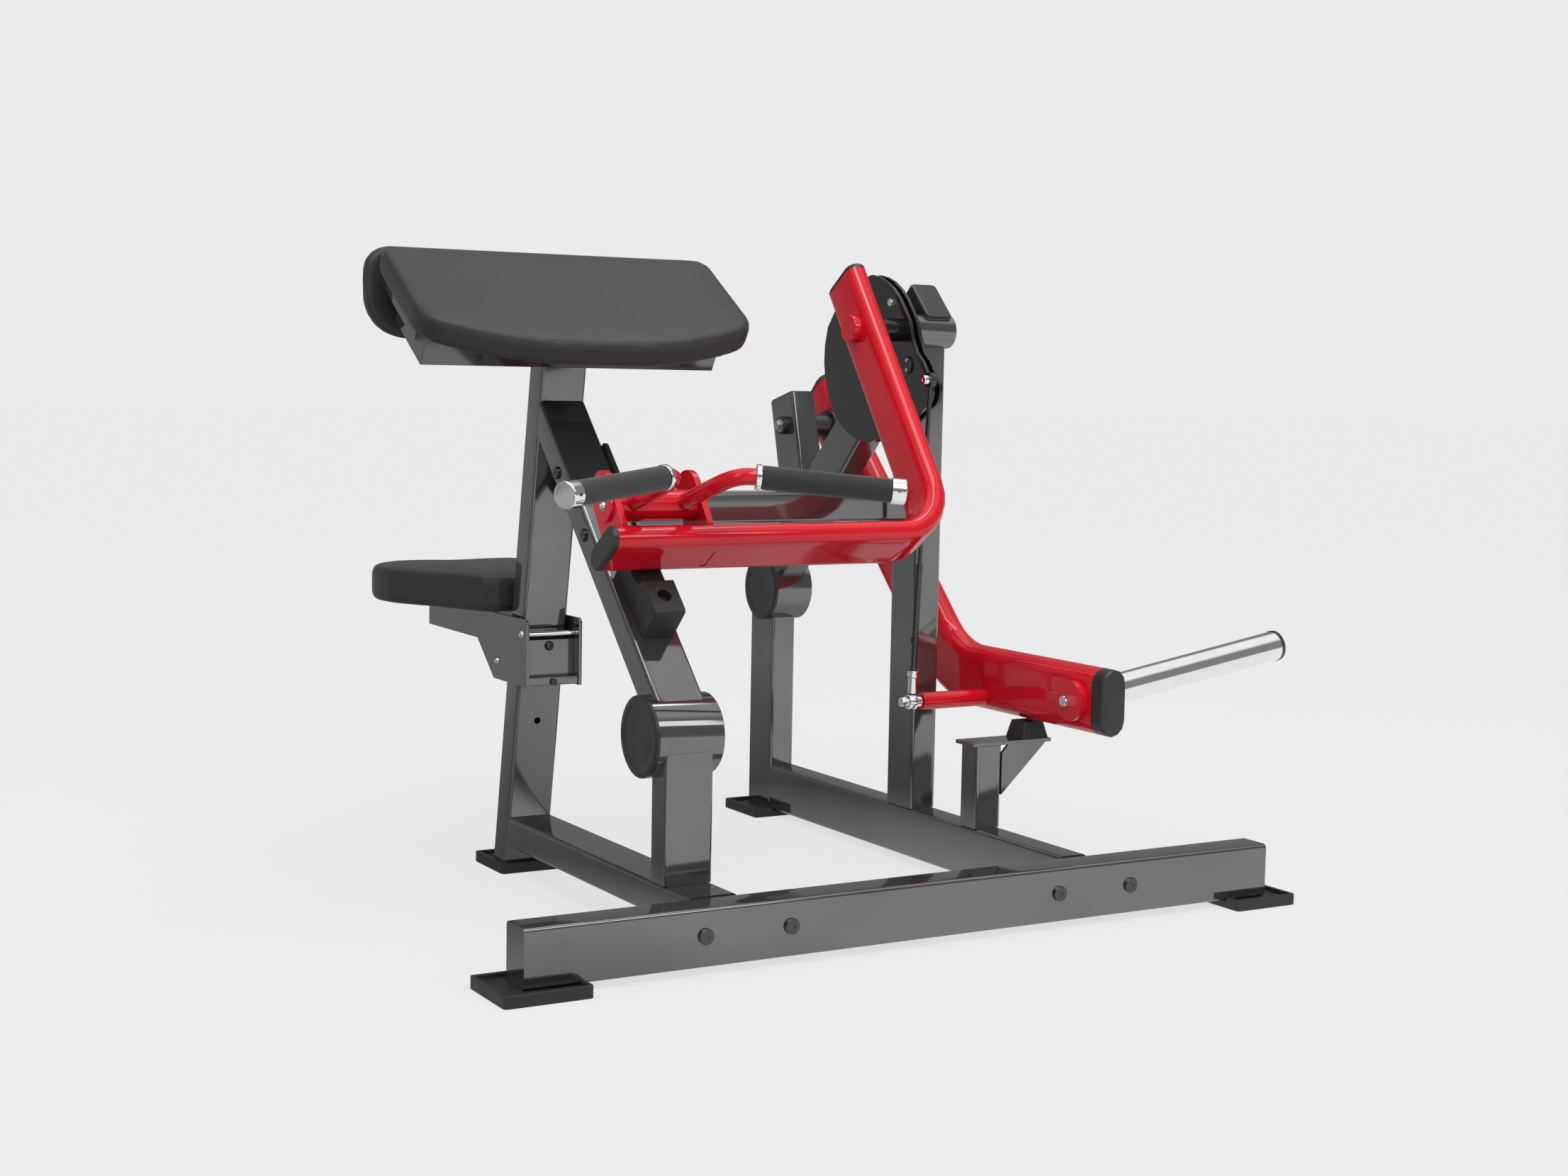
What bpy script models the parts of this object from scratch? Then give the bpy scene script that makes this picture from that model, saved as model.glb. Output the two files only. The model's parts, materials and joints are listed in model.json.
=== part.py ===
"""Plate-loaded seated arm-curl machine, modelled in metres with +Z up.

The member sits at the back (+Y), facing -Y, with the upper arms on the sloping
pad. The red exercise arm swings about a shaft along X. A link rod from its cam
plates lifts the red weight arm, which carries plates on a horn at the right.
"""

import math

import bmesh
import bpy
from mathutils import Vector

# ---------------------------------------------------------------- dimensions
GAP = 0.0003                 # clearance between pieces that touch
ORIGIN = Vector((0.70207, 0.5220, 0.0))   # bottom centre, in the layout's own coordinates
WALL = 0.003                 # tube wall
EDGE = 0.006                 # outer corner radius of rectangular tube

BEAM_BOTTOM = 0.0114         # underside of the base beams above the floor
BEAM_TOP = 0.0954
BEAM_DEPTH = 0.0587
BEAM_LENGTH = 1.283
FLANGE = 0.006               # thickness of the bolting flanges

LEFT_X = (0.276, 0.354)      # left frame, outer faces
RIGHT_X = (0.923, 0.973)     # right frame, outer faces
LEFT_MID = 0.315
RIGHT_MID = 0.948

POST_LEAN = math.radians(9.5)
POST_DEPTH = 0.050
POST_FOOT = Vector((LEFT_MID, 0.729, 0.100))
JOINT_TUBE_R = 0.060
LEFT_JOINT = Vector((0, 0.195, 0.305))
RIGHT_JOINT = Vector((0, 0.995, 0.431))
BRACE_FRONT = 0.191          # left brace's upper face: z - y
LEFT_BRACE_DEPTH = 0.049
RIGHT_BRACE_LOW = 1.396      # right brace's lower face: y + z
RIGHT_BRACE_HIGH = 1.511

ARM_PIVOT = Vector((0, 0.495, 0.906))
ARM_LEAN = math.radians(35.5)
ARM_LONG = 0.092             # flat-oval section of the exercise arm
ARM_SHORT = 0.037
ARM_MID_X = 0.8155
BAR_CENTRE = Vector((0, 0.258, 0.572))
BAR_LEFT_X = 0.238
ARM_BEND = 0.090
ARM_TOP = 0.095              # end of the red tube above the pivot

HANDLE_MID_X = 0.3277
EAR_INNER = 0.0652
EAR_THICK = 0.010
HANDLE_U = 0.069             # handle axis above the bar's centre, along the arm
HANDLE_N = 0.006

WEIGHT_PIVOT = Vector((0, 0.934, 0.737))
WEIGHT_X = (1.020, 1.070)
WEIGHT_HEIGHT = 0.108
WEIGHT_LOW_Z = 0.3215
WEIGHT_CORNER_Y = 0.5375      # where the lever's two straight centrelines would meet
WEIGHT_BEND = 0.180
HORN_Y = 0.167
HORN_RISE = 0.168
HORN_R = 0.025
HORN_END_X = 1.4335
BOSS_R = 0.033
BOSS_THICK = 0.0125

LINK_TOP = Vector((0, 0.385, 0.824))
LINK_END = Vector((0, 0.419, 0.292))
LINK_X = 0.8755

PAD_SLOPE = math.radians(32.5)
PAD_BACK = Vector((LEFT_MID, 0.6475, 1.0190))
PAD_THICK = 0.045

BARREL_R = 0.0285            # bearing barrel at the top of the tall post
BARREL_BORE = 0.0166
BARREL_X = (0.9055, 0.9800)
SHAFT_R = 0.0162             # the exercise arm's shaft
PIN_R = 0.0125               # the weight arm's pivot pin

EAR_TAIL = (-0.026, 0.0145)  # span of an ear's tail through the bar
HANDLE_PIN_R = 0.0080
HANDLE_TUBE_R = 0.024
HANDLE_BAR_R = 0.0125
GRIP_R = 0.0175

SEAT_LOW_Z = 0.4315          # underside of the seat pad
SEAT_HIGH_Z = 0.4935
SEAT_PLATE = 0.006

AXIS_X = Vector((1, 0, 0))
AXIS_Y = Vector((0, 1, 0))
AXIS_Z = Vector((0, 0, 1))

# Exercise arm frame: ARM_U runs up the arm, ARM_N points forward and up.
ARM_U = Vector((0, math.sin(ARM_LEAN), math.cos(ARM_LEAN)))
ARM_N = Vector((0, -math.cos(ARM_LEAN), math.sin(ARM_LEAN)))
# Pad frame: PAD_D runs down the slope, PAD_M points out of the top surface.
PAD_D = Vector((0, -math.cos(PAD_SLOPE), -math.sin(PAD_SLOPE)))
PAD_M = Vector((0, -math.sin(PAD_SLOPE), math.cos(PAD_SLOPE)))
# Seat post frame: POST_UP runs up the post, POST_FWD points to its front.
POST_UP = Vector((0, -math.sin(POST_LEAN), math.cos(POST_LEAN)))
POST_FWD = Vector((0, -math.cos(POST_LEAN), -math.sin(POST_LEAN)))
DIAGONAL = math.sqrt(0.5)

# ---------------------------------------------------------------- materials
PAINT_GREY = ("grey_paint", (0.19, 0.19, 0.195), 0.25, 0.0)
PAINT_RED = ("red_paint", (0.48, 0.012, 0.022), 0.18, 0.0)
PLATE_BLACK = ("black_plate", (0.03, 0.03, 0.032), 0.35, 0.0)
PLASTIC = ("black_plastic", (0.045, 0.047, 0.046), 0.5, 0.0)
RUBBER = ("black_rubber", (0.03, 0.03, 0.03), 0.75, 0.0)
CHROME = ("chrome", (0.85, 0.85, 0.86), 0.08, 1.0)
STEEL = ("steel", (0.45, 0.45, 0.46), 0.3, 1.0)
VINYL = ("black_vinyl", (0.06, 0.06, 0.062), 0.5, 0.0)


def get_material(recipe):
    name, colour, roughness, metallic = recipe
    material = bpy.data.materials.get(name)
    if material is None:
        material = bpy.data.materials.new(name)
        material.use_nodes = True
        shader = material.node_tree.nodes["Principled BSDF"]
        shader.inputs["Base Color"].default_value = (*colour, 1.0)
        shader.inputs["Roughness"].default_value = roughness
        shader.inputs["Metallic"].default_value = metallic
    return material


# ---------------------------------------------------------------- mesh tools
def make_object(name, mesh_builder, recipe, pivot=None):
    """Turn a filled bmesh into a named object with its origin at pivot."""
    centre = (pivot if pivot is not None else ORIGIN) - ORIGIN
    bmesh.ops.translate(mesh_builder, verts=mesh_builder.verts, vec=-ORIGIN - centre)
    bmesh.ops.recalc_face_normals(mesh_builder, faces=mesh_builder.faces)
    mesh = bpy.data.meshes.new(name)
    mesh_builder.to_mesh(mesh)
    mesh_builder.free()
    mesh.shade_smooth()
    mesh.set_sharp_from_angle(angle=math.radians(35))
    item = bpy.data.objects.new(name, mesh)
    item.location = centre
    bpy.context.scene.collection.objects.link(item)
    if recipe is not None:
        mesh.materials.append(get_material(recipe))
    return item


def loft(loops, closed=False):
    """Join loops of equal length with quads; closed joins the last to the first."""
    bm = bmesh.new()
    rings = [[bm.verts.new(point) for point in loop] for loop in loops]
    count = len(rings[0])
    pairs = list(zip(rings, rings[1:]))
    if closed:
        pairs.append((rings[-1], rings[0]))
    else:
        bm.faces.new(list(reversed(rings[0])))
        bm.faces.new(rings[-1])
    for first, second in pairs:
        for i in range(count):
            j = (i + 1) % count
            bm.faces.new((first[i], first[j], second[j], second[i]))
    return bm


def rounded_rect(width, height, radius, steps=2):
    """Outline of a rectangle with round corners, centred on the origin."""
    points = []
    corners = ((1, 1, 0), (-1, 1, 90), (-1, -1, 180), (1, -1, 270))
    for sx, sy, start in corners:
        cx = sx * (width / 2 - radius)
        cy = sy * (height / 2 - radius)
        for k in range(steps + 1):
            angle = math.radians(start + 90 * k / steps)
            points.append((cx + radius * math.cos(angle), cy + radius * math.sin(angle)))
    return points


def flat_oval(long_side, short_side, steps=6):
    """Outline with straight sides along the first axis and round ends."""
    radius = short_side / 2
    reach = long_side / 2 - radius
    points = []
    for side, start in ((1, -90), (-1, 90)):
        for k in range(steps + 1):
            angle = math.radians(start + 180 * k / steps)
            points.append((side * reach + radius * math.cos(angle), radius * math.sin(angle)))
    return points


def circle(radius, count=32, phase=0.0):
    step = 2 * math.pi / count
    return [(radius * math.cos(phase + k * step), radius * math.sin(phase + k * step))
            for k in range(count)]


def place_loop(outline, origin, side_a, side_b, direction=None, plane_point=None, normal=None):
    """Put a 2-D outline in space, slid along direction onto a plane when one is given."""
    points = [origin + side_a * a + side_b * b for a, b in outline]
    if normal is None:
        return points
    steepness = direction.dot(normal)
    return [p + direction * ((plane_point - p).dot(normal) / steepness) for p in points]


def tube(name, start, end, side_a, outer, inner, recipe, cuts=(None, None), ends="open"):
    """Straight tube from start to end. cuts are the end planes' normals (None: square).

    Its ends are "open"; or "capped", closed at the end and open at the start; or
    "vented", closed at both with a small drain hole at the end.
    """
    direction = (end - start).normalized()
    side_b = direction.cross(side_a).normalized()
    normals = [cut if cut is not None else direction for cut in cuts]

    def at(outline, point, normal):
        return place_loop(outline, point, side_a, side_b, direction, point, normal)

    if ends == "open":
        loops = [at(outer, start, normals[0]), at(outer, end, normals[1]),
                 at(inner, end, normals[1]), at(inner, start, normals[0])]
        return make_object(name, loft(loops, closed=True), recipe)
    inset = direction * WALL
    if ends == "capped":
        loops = [at(inner, end - inset, normals[1]), at(inner, start, normals[0]),
                 at(outer, start, normals[0]), at(outer, end, normals[1])]
        return make_object(name, loft(loops), recipe)
    hole = circle(0.004, len(outer), math.pi / len(outer))
    loops = [at(outer, start, normals[0]), at(outer, end, normals[1]), at(hole, end, normals[1]),
             at(hole, end - inset, normals[1]), at(inner, end - inset, normals[1]),
             at(inner, start + inset, normals[0])]
    return make_object(name, loft(loops), recipe)


def box_tube(name, start, end, side_a, width, height, recipe=PAINT_GREY, **options):
    """Rectangular tube; width lies along side_a."""
    outer = rounded_rect(width, height, EDGE)
    inner = rounded_rect(width - 2 * WALL, height - 2 * WALL, EDGE - WALL)
    return tube(name, start, end, side_a, outer, inner, recipe, **options)


def turned(name, base, direction, profile, recipe, count=32, pivot=None, hollow=False):
    """Turned piece: profile is (distance along direction, radius) from one end to the other."""
    side_a = direction.orthogonal().normalized()
    side_b = direction.cross(side_a).normalized()
    loops = [place_loop(circle(radius, count), base + direction * reach, side_a, side_b)
             for reach, radius in profile]
    return make_object(name, loft(loops, closed=hollow), recipe, pivot)


def plate(name, outline, base, side_a, side_b, thickness, recipe, pivot=None):
    """Flat plate: outline in (side_a, side_b), thickened along side_a x side_b."""
    normal = side_a.cross(side_b).normalized()
    loops = [place_loop(outline, base, side_a, side_b),
             place_loop(outline, base + normal * thickness, side_a, side_b)]
    return make_object(name, loft(loops), recipe, pivot)


def block(name, low, high, recipe, pivot=None):
    outline = [(low[0], low[1]), (high[0], low[1]), (high[0], high[1]), (low[0], high[1])]
    return plate(name, outline, Vector((0, 0, low[2])), AXIS_X, AXIS_Y, high[2] - low[2],
                 recipe, pivot)


def cut(item, cutter, operation="DIFFERENCE"):
    """Boolean with a hidden cutter object."""
    cutter.hide_render = True
    cutter.display_type = "WIRE"
    modifier = item.modifiers.new(cutter.name, "BOOLEAN")
    modifier.operation = operation
    modifier.object = cutter


def rod_cutter(name, base, direction, length, radius, count=32):
    return turned(name, base, direction, [(0, radius), (length, radius)], None, count)


def arc(centre, radius, start, stop, steps):
    """Points of an arc in the plane, angles in degrees."""
    points = []
    for k in range(steps + 1):
        angle = math.radians(start + (stop - start) * k / steps)
        points.append((centre[0] + radius * math.cos(angle), centre[1] + radius * math.sin(angle)))
    return points


# ---------------------------------------------------------------- base
def build_base():
    mid_z = (BEAM_BOTTOM + BEAM_TOP) / 2
    height = BEAM_TOP - BEAM_BOTTOM
    front_y = BEAM_DEPTH / 2
    box_tube("front_beam", Vector((0, front_y, mid_z)), Vector((BEAM_LENGTH, front_y, mid_z)),
             AXIS_Y, BEAM_DEPTH, height, ends="vented")
    beam_start = BEAM_DEPTH + GAP + FLANGE + GAP
    flat_low = 0.0464
    flat_mid = (flat_low + BEAM_TOP) / 2
    post_front = (POST_FOOT + POST_FWD * (POST_DEPTH / 2 + GAP))
    box_tube("left_side_beam", Vector((LEFT_MID, beam_start, flat_mid)),
             Vector((LEFT_MID, plane_y(post_front, POST_FWD, flat_mid), flat_mid)),
             AXIS_X, LEFT_X[1] - LEFT_X[0], BEAM_TOP - flat_low, cuts=(None, POST_FWD))
    box_tube("right_side_beam", Vector((RIGHT_MID, beam_start, mid_z)),
             Vector((RIGHT_MID, 0.9707, mid_z)), AXIS_X, RIGHT_X[1] - RIGHT_X[0], height)
    build_flange("left_flange", 0.3387)
    build_flange("right_flange", 0.9416)
    build_foot("foot_front_left", (-0.0415, -0.033), (0.0880, 0.0885), notch=(0, 1))
    build_foot("foot_front_right", (1.2012, -0.031), (1.3206, 0.087), notch=(0, -1))
    build_foot("foot_rear_right", (0.8840, 0.9540), (1.0100, 1.0770), notch=(-1, 0))
    build_foot("foot_rear_left", (0.2680, 0.7090), (0.3800, 0.8280), notch=None)


def plane_y(point, normal, z):
    """Y where a plane parallel to X crosses height z."""
    return point.y - (z - point.z) * normal.z / normal.y


def build_flange(name, centre_x):
    """Bolting plate welded to a side beam, behind the front beam."""
    outline = rounded_rect(0.184, 0.074, 0.010)
    plate(name, outline, Vector((centre_x, BEAM_DEPTH + GAP + FLANGE, 0.0534)), AXIS_X, AXIS_Z,
          FLANGE, PAINT_GREY)


def build_foot(name, low, high, notch):
    """Rubber tray with a low rim; the beam leaves through the notched side."""
    rim_top = 0.0176
    rim = 0.007
    outline = rounded_rect(high[0] - low[0], high[1] - low[1], 0.006)
    middle = Vector(((low[0] + high[0]) / 2, (low[1] + high[1]) / 2, 0))
    foot = plate(name, outline, middle, AXIS_X, AXIS_Y, rim_top, RUBBER)
    floor = BEAM_BOTTOM - GAP
    reach = [[low[0] + rim, high[0] - rim], [low[1] + rim, high[1] - rim]]
    cut(foot, block(name + "_pocket", (reach[0][0], reach[1][0], floor),
                    (reach[0][1], reach[1][1], 0.05), None))
    if notch is None:
        return
    if notch[1]:
        span_y = (-GAP, BEAM_DEPTH + GAP)
        span_x = (middle.x, middle.x + notch[1])
        span_x = (min(span_x), max(span_x))
    else:
        span_x = (RIGHT_X[0] - GAP, RIGHT_X[1] + GAP)
        span_y = (middle.y - 1, middle.y)
    cut(foot, block(name + "_notch", (span_x[0], span_y[0], floor), (span_x[1], span_y[1], 0.06),
                    None))


# ---------------------------------------------------------------- left frame
def build_left_frame():
    build_seat_post()
    build_left_brace()
    front_y = 0.162
    front_post = box_tube("left_front_post", Vector((LEFT_MID, front_y, BEAM_TOP + GAP)),
                          Vector((LEFT_MID, front_y, LEFT_JOINT.z)), AXIS_X, 0.078, 0.048)
    cut(front_post, rod_cutter("front_post_cope", Vector((0.2, LEFT_JOINT.y, LEFT_JOINT.z)),
                               AXIS_X, 0.25, JOINT_TUBE_R + GAP, 32))
    build_joint_tube("left_joint_tube", LEFT_JOINT, 0.2655, 0.3705, "left_joint_cap", 0.2595)
    build_brace_bumper()
    build_cross_member()


def build_joint_tube(name, centre, start_x, end_x, cap_name, cap_x):
    """Round cross tube at a frame corner, with a plastic cap on its left end."""
    base = Vector((start_x + GAP, centre.y, centre.z))
    length = end_x - start_x - GAP
    bore = JOINT_TUBE_R - 0.004
    turned(name, base, AXIS_X,
           [(0, JOINT_TUBE_R), (length - 0.002, JOINT_TUBE_R), (length, JOINT_TUBE_R - 0.002),
            (length, 0.008), (length - 0.004, 0.008), (length - 0.004, bore), (0, bore)],
           PAINT_GREY, 32, hollow=True)
    cap_base = Vector((cap_x, centre.y, centre.z))
    depth = start_x - cap_x
    turned(cap_name, cap_base, AXIS_X,
           [(0.0015, 0.043), (0.0015, 0.047), (0, 0.049), (0, 0.057), (0.002, JOINT_TUBE_R),
            (depth, JOINT_TUBE_R), (depth, bore - GAP), (depth + 0.012, bore - GAP)],
           PLASTIC, 32)


def build_seat_post():
    foot = POST_FOOT - POST_UP * ((POST_FOOT.z - BEAM_BOTTOM) / POST_UP.z)
    tray_plane = PAD_BACK - PAD_M * (PAD_THICK + 0.0195 + 0.0440 + 3 * GAP)
    top = POST_FOOT + POST_UP * ((tray_plane - POST_FOOT).dot(PAD_M) / POST_UP.dot(PAD_M))
    post = box_tube("seat_post", foot, top, AXIS_X, LEFT_X[1] - LEFT_X[0], POST_DEPTH,
                    cuts=(AXIS_Z, PAD_M))
    hole_height = 0.262
    axis = POST_FOOT + POST_UP * ((hole_height - POST_FOOT.z) / POST_UP.z)
    cut(post, rod_cutter("post_hole", axis, POST_FWD, 0.1, 0.0058, 16))
    build_seat_rack()


def build_seat_rack():
    """Toothed strip on the back of the seat post, which sets the seat's height."""
    pitch = 0.028
    low_z, high_z = 0.235, 0.600
    count = int((high_z - low_z) / pitch)
    depth_base, depth_tooth = 0.005, 0.011
    outline = [(0, 0)]
    for k in range(count):
        foot = k * pitch
        outline += [(foot, depth_tooth), (foot + pitch * 0.55, depth_tooth),
                    (foot + pitch * 0.78, depth_base), (foot + pitch * 0.98, depth_base)]
    outline += [(count * pitch, 0)]
    start = POST_FOOT + POST_UP * ((low_z - POST_FOOT.z) / POST_UP.z)
    base = start - POST_FWD * (POST_DEPTH / 2 + GAP) + AXIS_X * -0.017
    plate("seat_rack", [(a, b) for b, a in outline], base, -POST_FWD, POST_UP, 0.034, PAINT_GREY)


def build_left_brace():
    """Brace at 45 degrees from the joint tube up to the seat post's front face."""
    up = Vector((0, DIAGONAL, DIAGONAL))
    middle = Vector((LEFT_MID, 0, BRACE_FRONT)) - Vector((0, -DIAGONAL, DIAGONAL)) * LEFT_BRACE_DEPTH / 2
    start = middle + up * ((LEFT_JOINT - middle).dot(up))
    post_face = POST_FOOT + POST_FWD * (POST_DEPTH / 2 + GAP)
    end = middle + up * ((post_face - middle).dot(POST_FWD) / up.dot(POST_FWD))
    brace = box_tube("left_brace", start, end, AXIS_X, LEFT_X[1] - LEFT_X[0], LEFT_BRACE_DEPTH,
                     cuts=(None, POST_FWD))
    cut(brace, rod_cutter("left_brace_cope", Vector((0.2, LEFT_JOINT.y, LEFT_JOINT.z)), AXIS_X,
                          0.25, JOINT_TUBE_R + GAP, 32))


def build_brace_bumper():
    """Rubber block that the exercise arm's bar rests against."""
    along = Vector((0, DIAGONAL, DIAGONAL))
    out = Vector((0, -DIAGONAL, DIAGONAL))
    root = Vector((0.2915, 0, BRACE_FRONT)) - along * (BRACE_FRONT * DIAGONAL) + out * GAP
    outline = [(0.487, 0), (0.615, 0), (0.615, 0.034), (0.610, 0.0385), (0.562, 0.0385),
               (0.552, 0.046), (0.549, 0.057), (0.546, 0.060), (0.491, 0.060), (0.487, 0.056)]
    bumper = plate("brace_bumper", outline, root, along, out, 0.0495, RUBBER)
    hole = root + along * 0.5185 + out * 0.045 + AXIS_X * 0.02475
    cut(bumper, rod_cutter("bumper_hole", hole, out, 0.05, 0.011, 20))


def build_cross_member():
    """Flat tube that ties the left frame to the tall post, with a bolting flange."""
    low, high = 0.5905, 0.6395
    front, back = 0.4565, 0.5335
    middle = Vector((0, (front + back) / 2, (low + high) / 2))
    start_x = LEFT_X[1] + GAP + FLANGE - 0.001
    member = box_tube("cross_member", middle + AXIS_X * start_x,
                      middle + AXIS_X * (RIGHT_X[0] - GAP), AXIS_Y, back - front, high - low)
    up = Vector((0, DIAGONAL, DIAGONAL))
    out = Vector((0, -DIAGONAL, DIAGONAL))
    centre = Vector((LEFT_X[1] + GAP, 0, BRACE_FRONT)) - out * (LEFT_BRACE_DEPTH / 2)
    centre += up * ((middle - centre).dot(up) - 0.004)
    cut(member, plate("cross_flange", rounded_rect(0.190, 0.062, 0.008), centre, up, out, FLANGE,
                      None), "UNION")


# ---------------------------------------------------------------- pads
def build_pads():
    build_preacher_pad()
    build_chest_pad()
    board_base = PAD_BACK - PAD_M * (PAD_THICK + GAP)
    board = [(-0.270, 0.011), (-0.270, 0.180), (0.270, 0.180), (0.270, 0.011)]
    plate("pad_board", board, board_base, AXIS_X, PAD_D, 0.0195, PAINT_GREY)
    tray_base = board_base - PAD_M * (0.0195 + GAP)
    tray = [(-0.250, 0.046), (-0.250, 0.176), (0.250, 0.176), (0.250, 0.046)]
    tray_item = plate("pad_tray", tray, tray_base, AXIS_X, PAD_D, 0.0440, PAINT_GREY)
    hollow = [(-0.246, 0.050), (-0.246, 0.172), (0.246, 0.172), (0.246, 0.050)]
    cut(tray_item, plate("tray_hollow", hollow, tray_base + PAD_M * 0.01, AXIS_X, PAD_D, 0.0500,
                         None))


def cushion(name, outline, base, side_a, side_b, thickness, rounding, recipe=VINYL):
    """Cushion block: an outline thickened, with its two rims rounded off."""
    normal = side_a.cross(side_b).normalized()
    centre = (sum(a for a, b in outline) / len(outline), sum(b for a, b in outline) / len(outline))
    half_a = max(a for a, b in outline) - centre[0]
    half_b = max(b for a, b in outline) - centre[1]
    loops = []
    for depth, inset in ((0, rounding), (rounding * 0.3, rounding * 0.3), (rounding, 0),
                         (thickness - rounding, 0), (thickness - rounding * 0.3, rounding * 0.3),
                         (thickness, rounding)):
        scale_a = 1 - inset / half_a
        scale_b = 1 - inset / half_b
        loop = [(centre[0] + (a - centre[0]) * scale_a, centre[1] + (b - centre[1]) * scale_b)
                for a, b in outline]
        loops.append(place_loop(loop, base + normal * depth, side_a, side_b))
    return make_object(name, loft(loops), recipe)


def mirrored(half):
    """Close an outline from its right half, listed from the start of the axis to its end."""
    return half + [(-a, b) for a, b in reversed(half)]


def build_preacher_pad():
    """Sloping arm pad with a bowed front edge."""
    half = [(0.279, 0.012), (0.283, 0.020), (0.283, 0.172)]
    half += arc((0.224, 0.177), 0.059, 0, 66, 4)
    half += [(0.205, 0.2495), (0.150, 0.267), (0.080, 0.280)]
    half = [(0.270, 0.0)] + half
    outline = mirrored(half)
    flipped = [(b, a) for a, b in outline]
    cushion("preacher_pad", flipped, PAD_BACK - PAD_M * PAD_THICK, PAD_D, AXIS_X, PAD_THICK,
            0.010)


def build_chest_pad():
    """Pad that the member leans on, hung behind the arm pad."""
    half_width = 0.2935
    half = [(0.215, 0.872)]
    half += arc((half_width - 0.066, 0.940), 0.066, -80, -8, 4)
    half += [(half_width, 0.962)]
    half += arc((half_width - 0.040, 0.976), 0.040, 8, 90, 4)
    outline = mirrored(half)
    base = Vector((LEFT_MID, 0.7025, 0))
    cushion("chest_pad", outline, base, AXIS_X, AXIS_Z, 0.028, 0.008)


# ---------------------------------------------------------------- right frame
def build_right_frame():
    width = RIGHT_X[1] - RIGHT_X[0]
    rear_y = 1.013
    rear = box_tube("rear_post", Vector((RIGHT_MID, rear_y, BEAM_BOTTOM)),
                    Vector((RIGHT_MID, rear_y, RIGHT_JOINT.z)), AXIS_X, width, 0.084)
    cope = Vector((0.85, RIGHT_JOINT.y, RIGHT_JOINT.z))
    cut(rear, rod_cutter("rear_post_cope", cope, AXIS_X, 0.25, JOINT_TUBE_R + GAP, 32))
    build_joint_tube("right_joint_tube", RIGHT_JOINT, 0.914, 0.988, "right_joint_cap", 0.908)
    build_right_brace()
    build_pivot_post()
    build_tall_post()
    build_stop()


def build_right_brace():
    """Brace at 45 degrees from the rear joint tube up to the bearing barrel."""
    up = Vector((0, -DIAGONAL, DIAGONAL))
    mid_sum = (RIGHT_BRACE_LOW + RIGHT_BRACE_HIGH) / 2
    depth = (RIGHT_BRACE_HIGH - RIGHT_BRACE_LOW) * DIAGONAL
    middle = Vector((RIGHT_MID, mid_sum / 2, mid_sum / 2))
    start = middle + up * ((RIGHT_JOINT - middle).dot(up))
    end = middle + up * (0.457 * DIAGONAL)
    brace = box_tube("right_brace", start, end, AXIS_X, RIGHT_X[1] - RIGHT_X[0], depth, ends="capped")
    cope = Vector((0.85, RIGHT_JOINT.y, RIGHT_JOINT.z))
    cut(brace, rod_cutter("right_brace_cope", cope, AXIS_X, 0.25, JOINT_TUBE_R + GAP, 32))
    cut(brace, rod_cutter("brace_barrel_seat", ARM_PIVOT + AXIS_X * 0.85, AXIS_X, 0.25,
                          BARREL_R + GAP, 28))


def build_tall_post():
    mid_y = 0.5258
    width = RIGHT_X[1] - RIGHT_X[0]
    normal = Vector((0, DIAGONAL, DIAGONAL))
    top = Vector((RIGHT_MID, mid_y, RIGHT_BRACE_LOW - mid_y - GAP / DIAGONAL))
    post = box_tube("tall_post", Vector((RIGHT_MID, mid_y, BEAM_TOP + GAP)), top, AXIS_X, width,
                    0.0775, cuts=(None, normal))
    cut(post, rod_cutter("post_barrel_seat", ARM_PIVOT + AXIS_X * 0.85, AXIS_X, 0.25,
                         BARREL_R + GAP, 28))
    turned("bearing_barrel", ARM_PIVOT + AXIS_X * BARREL_X[0], AXIS_X,
           [(0, BARREL_R), (BARREL_X[1] - BARREL_X[0], BARREL_R),
            (BARREL_X[1] - BARREL_X[0], BARREL_BORE), (0, BARREL_BORE)], PAINT_GREY, 28,
           hollow=True)


def build_pivot_post():
    """Leaning post on the brace that carries the weight arm's pivot."""
    lean = math.radians(14.6)
    up = Vector((0, math.sin(lean), math.cos(lean)))
    top = Vector((RIGHT_MID, 0.9554, 0.7885))
    brace_normal = Vector((0, DIAGONAL, DIAGONAL))
    seat = Vector((0, RIGHT_BRACE_HIGH / 2, RIGHT_BRACE_HIGH / 2)) + brace_normal * GAP
    foot = top + up * ((seat - top).dot(brace_normal) / up.dot(brace_normal))
    post = box_tube("pivot_post", foot, top, AXIS_X, RIGHT_X[1] - RIGHT_X[0], 0.0815,
                    cuts=(brace_normal, None), ends="capped")
    cut(post, rod_cutter("pivot_bore", WEIGHT_PIVOT + AXIS_X * 0.85, AXIS_X, 0.25,
                         PIN_R + GAP, 24))
    build_pivot_pin()


def build_pivot_pin():
    """Pin through the pivot post, with a flange that spaces the weight arm from it."""
    base = WEIGHT_PIVOT + AXIS_X * 0.9105
    profile = [(0, 0.0165), (0.012, 0.0165), (0.012, PIN_R), (0.0628, PIN_R), (0.0628, 0.021),
               (0.1012, 0.021), (0.1012, 0.030), (0.1090, 0.030), (0.1090, PIN_R),
               (0.1600, PIN_R), (0.1600, 0.021), (0.1650, 0.021)]
    turned("weight_pivot_pin", base, AXIS_X, profile, STEEL, 24)


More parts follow.
